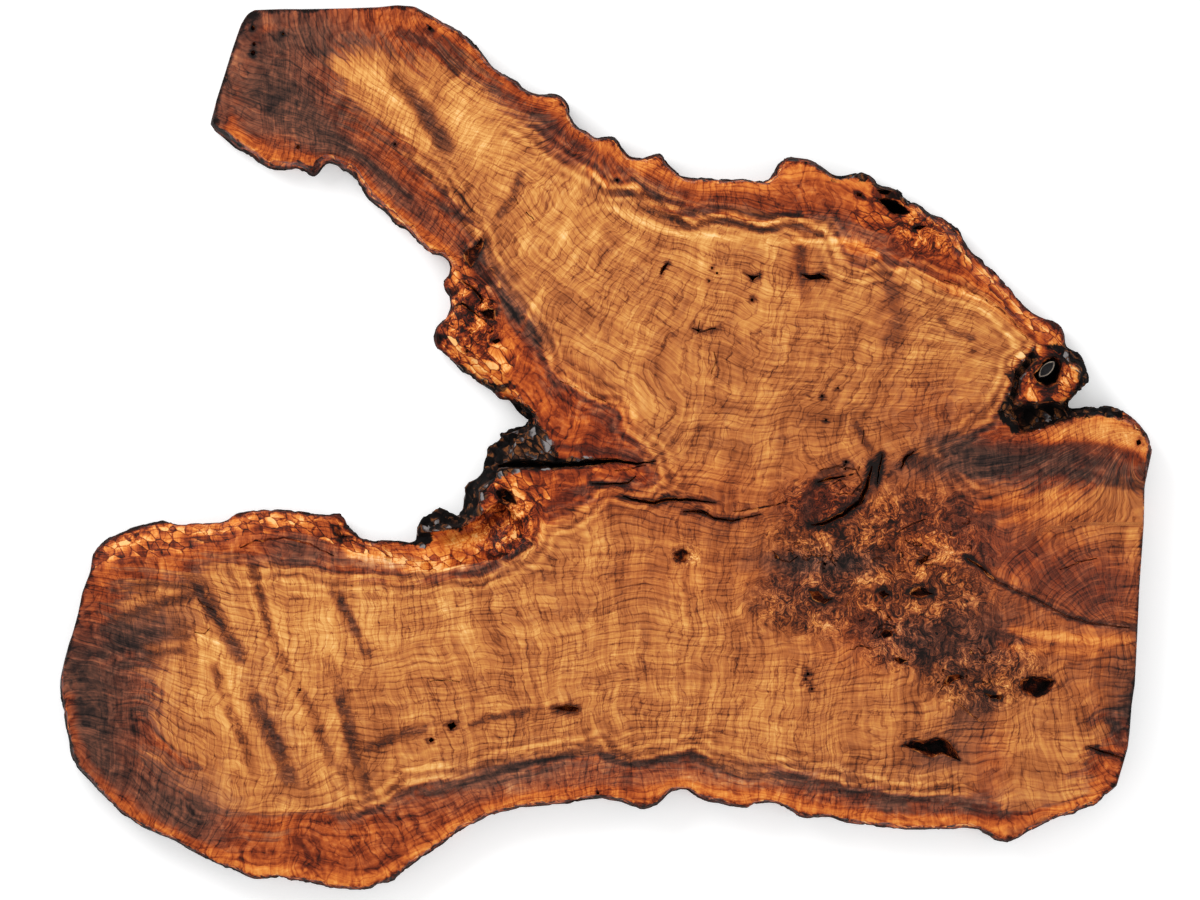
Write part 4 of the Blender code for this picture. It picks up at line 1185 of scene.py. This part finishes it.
    # Felt more than seen: the fibres and the lean of each chip.
    fine = add(VECTOR, {0: mark["ring"], 1: mark["along"], 2: depth})
    fine = add(VECTOR_MATH, {0: fine, 1: FELT_FIBRE}, operation="DIVIDE")
    fine = add(NOISE, {"Vector": fine, "Scale": 1.0})
    rugged = add(MATH, {0: rough, 1: barked}, operation="MAXIMUM")
    height = weigh(0.0, (fine, 0.5), (weigh(0.0, (rugged, lean)), 2.6))
    bump = add("ShaderNodeBump", {"Height": height, "Distance": 0.003, "Strength": 0.4})
    tree.links.new(bump, surface["Normal"])
    return material


def dead_bark():
    """Dead bark, weathered and dull, its colour set by height alone: black low in its cup, cold grey,
    and pale at its lip, darker towards the bottom.
    """
    material = bpy.data.materials.new("dead bark")
    material.use_nodes = True
    surface = material.node_tree.nodes["Principled BSDF"].inputs
    add = functools.partial(add_node, material.node_tree)
    place = add("ShaderNodeTexCoord", {}, "Object")
    height = add("ShaderNodeSeparateXYZ", {0: place}, "Z")
    (height_jitter,) = swings(add, (place, 4 * MM, 3.0, 0.6))
    tone = add(RANGE, {0: weighed_sum(add, height, (height_jitter, 3 * MM)), 1: 38 * MM, 2: 46.5 * MM})
    colour = add("ShaderNodeValToRGB", {0: tone}, stops=DEAD_TONES)
    material.node_tree.links.new(colour, surface["Base Color"])
    surface["Roughness"].default_value = 0.8
    surface["Specular IOR Level"].default_value = 0.15
    return material


def studio():
    """A pale floor, soft light from round about, and a camera straight above."""
    mesh = bmesh.new()
    bmesh.ops.create_grid(mesh, x_segments=2, y_segments=2, size=6.0)
    floor = placed(mesh, "studio_floor")
    floor.location.z = -1 * MM
    paint = bpy.data.materials.new("pale studio floor")
    paint.use_nodes = True
    surface = paint.node_tree.nodes["Principled BSDF"].inputs
    surface["Base Color"].default_value = linear("#F4F4F4")
    surface["Roughness"].default_value = 0.9
    surface["Emission Color"].default_value = (1.0, 1.0, 1.0, 1.0)
    surface["Emission Strength"].default_value = 0.3
    floor.data.materials.append(paint)

    world = bpy.data.worlds.new("studio")
    world.use_nodes = True
    world.node_tree.nodes["Background"].inputs["Color"].default_value = (1.0, 1.0, 1.0, 1.0)
    world.node_tree.nodes["Background"].inputs["Strength"].default_value = 0.75
    bpy.context.scene.world = world
    for name, spot, size, power in (
        ("key_light", (-1.6, 1.7, 2.2), 1.6, 46.0),
        ("fill_light", (1.9, -1.2, 2.0), 1.8, 16.0),
    ):
        lamp = bpy.data.lights.new(name, "AREA")
        lamp.size = size
        lamp.energy = power
        made = bpy.data.objects.new(name, lamp)
        made.location = spot
        made.rotation_euler = Vector(spot).to_track_quat("Z", "Y").to_euler()
        bpy.context.scene.collection.objects.link(made)

    lens = bpy.data.cameras.new("photo_camera")
    lens.sensor_width = 36.0
    lens.lens = 400.0
    camera = bpy.data.objects.new("photo_camera", lens)
    away = PHOTO_WIDTH * lens.lens / lens.sensor_width
    camera.location = plan(PHOTO_WIDTH / 2, PHOTO_HEIGHT / 2, THICK + away)
    bpy.context.scene.collection.objects.link(camera)
    bpy.context.scene.camera = camera
    bpy.context.scene.view_settings.view_transform = "Standard"


def main():
    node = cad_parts["slab"]
    # Without a seed noise_vector starts from the clock, so each run's hollows would differ.
    noise.seed_set(7)
    fields = grain_fields(node)
    slab = slab_mesh(node)
    carve_edges(slab, fields)
    thin_underside(slab)
    cut_hollows(slab)
    mark_wood(slab, fields)
    slab.data.shade_smooth()
    slab.data.set_sharp_from_angle(angle=math.radians(40))
    slab.data.materials.clear()
    slab.data.materials.append(oiled_walnut())
    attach(slab, "root")
    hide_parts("slab")
    eye = bark_eye()
    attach(eye, "root")
    studio()


main()
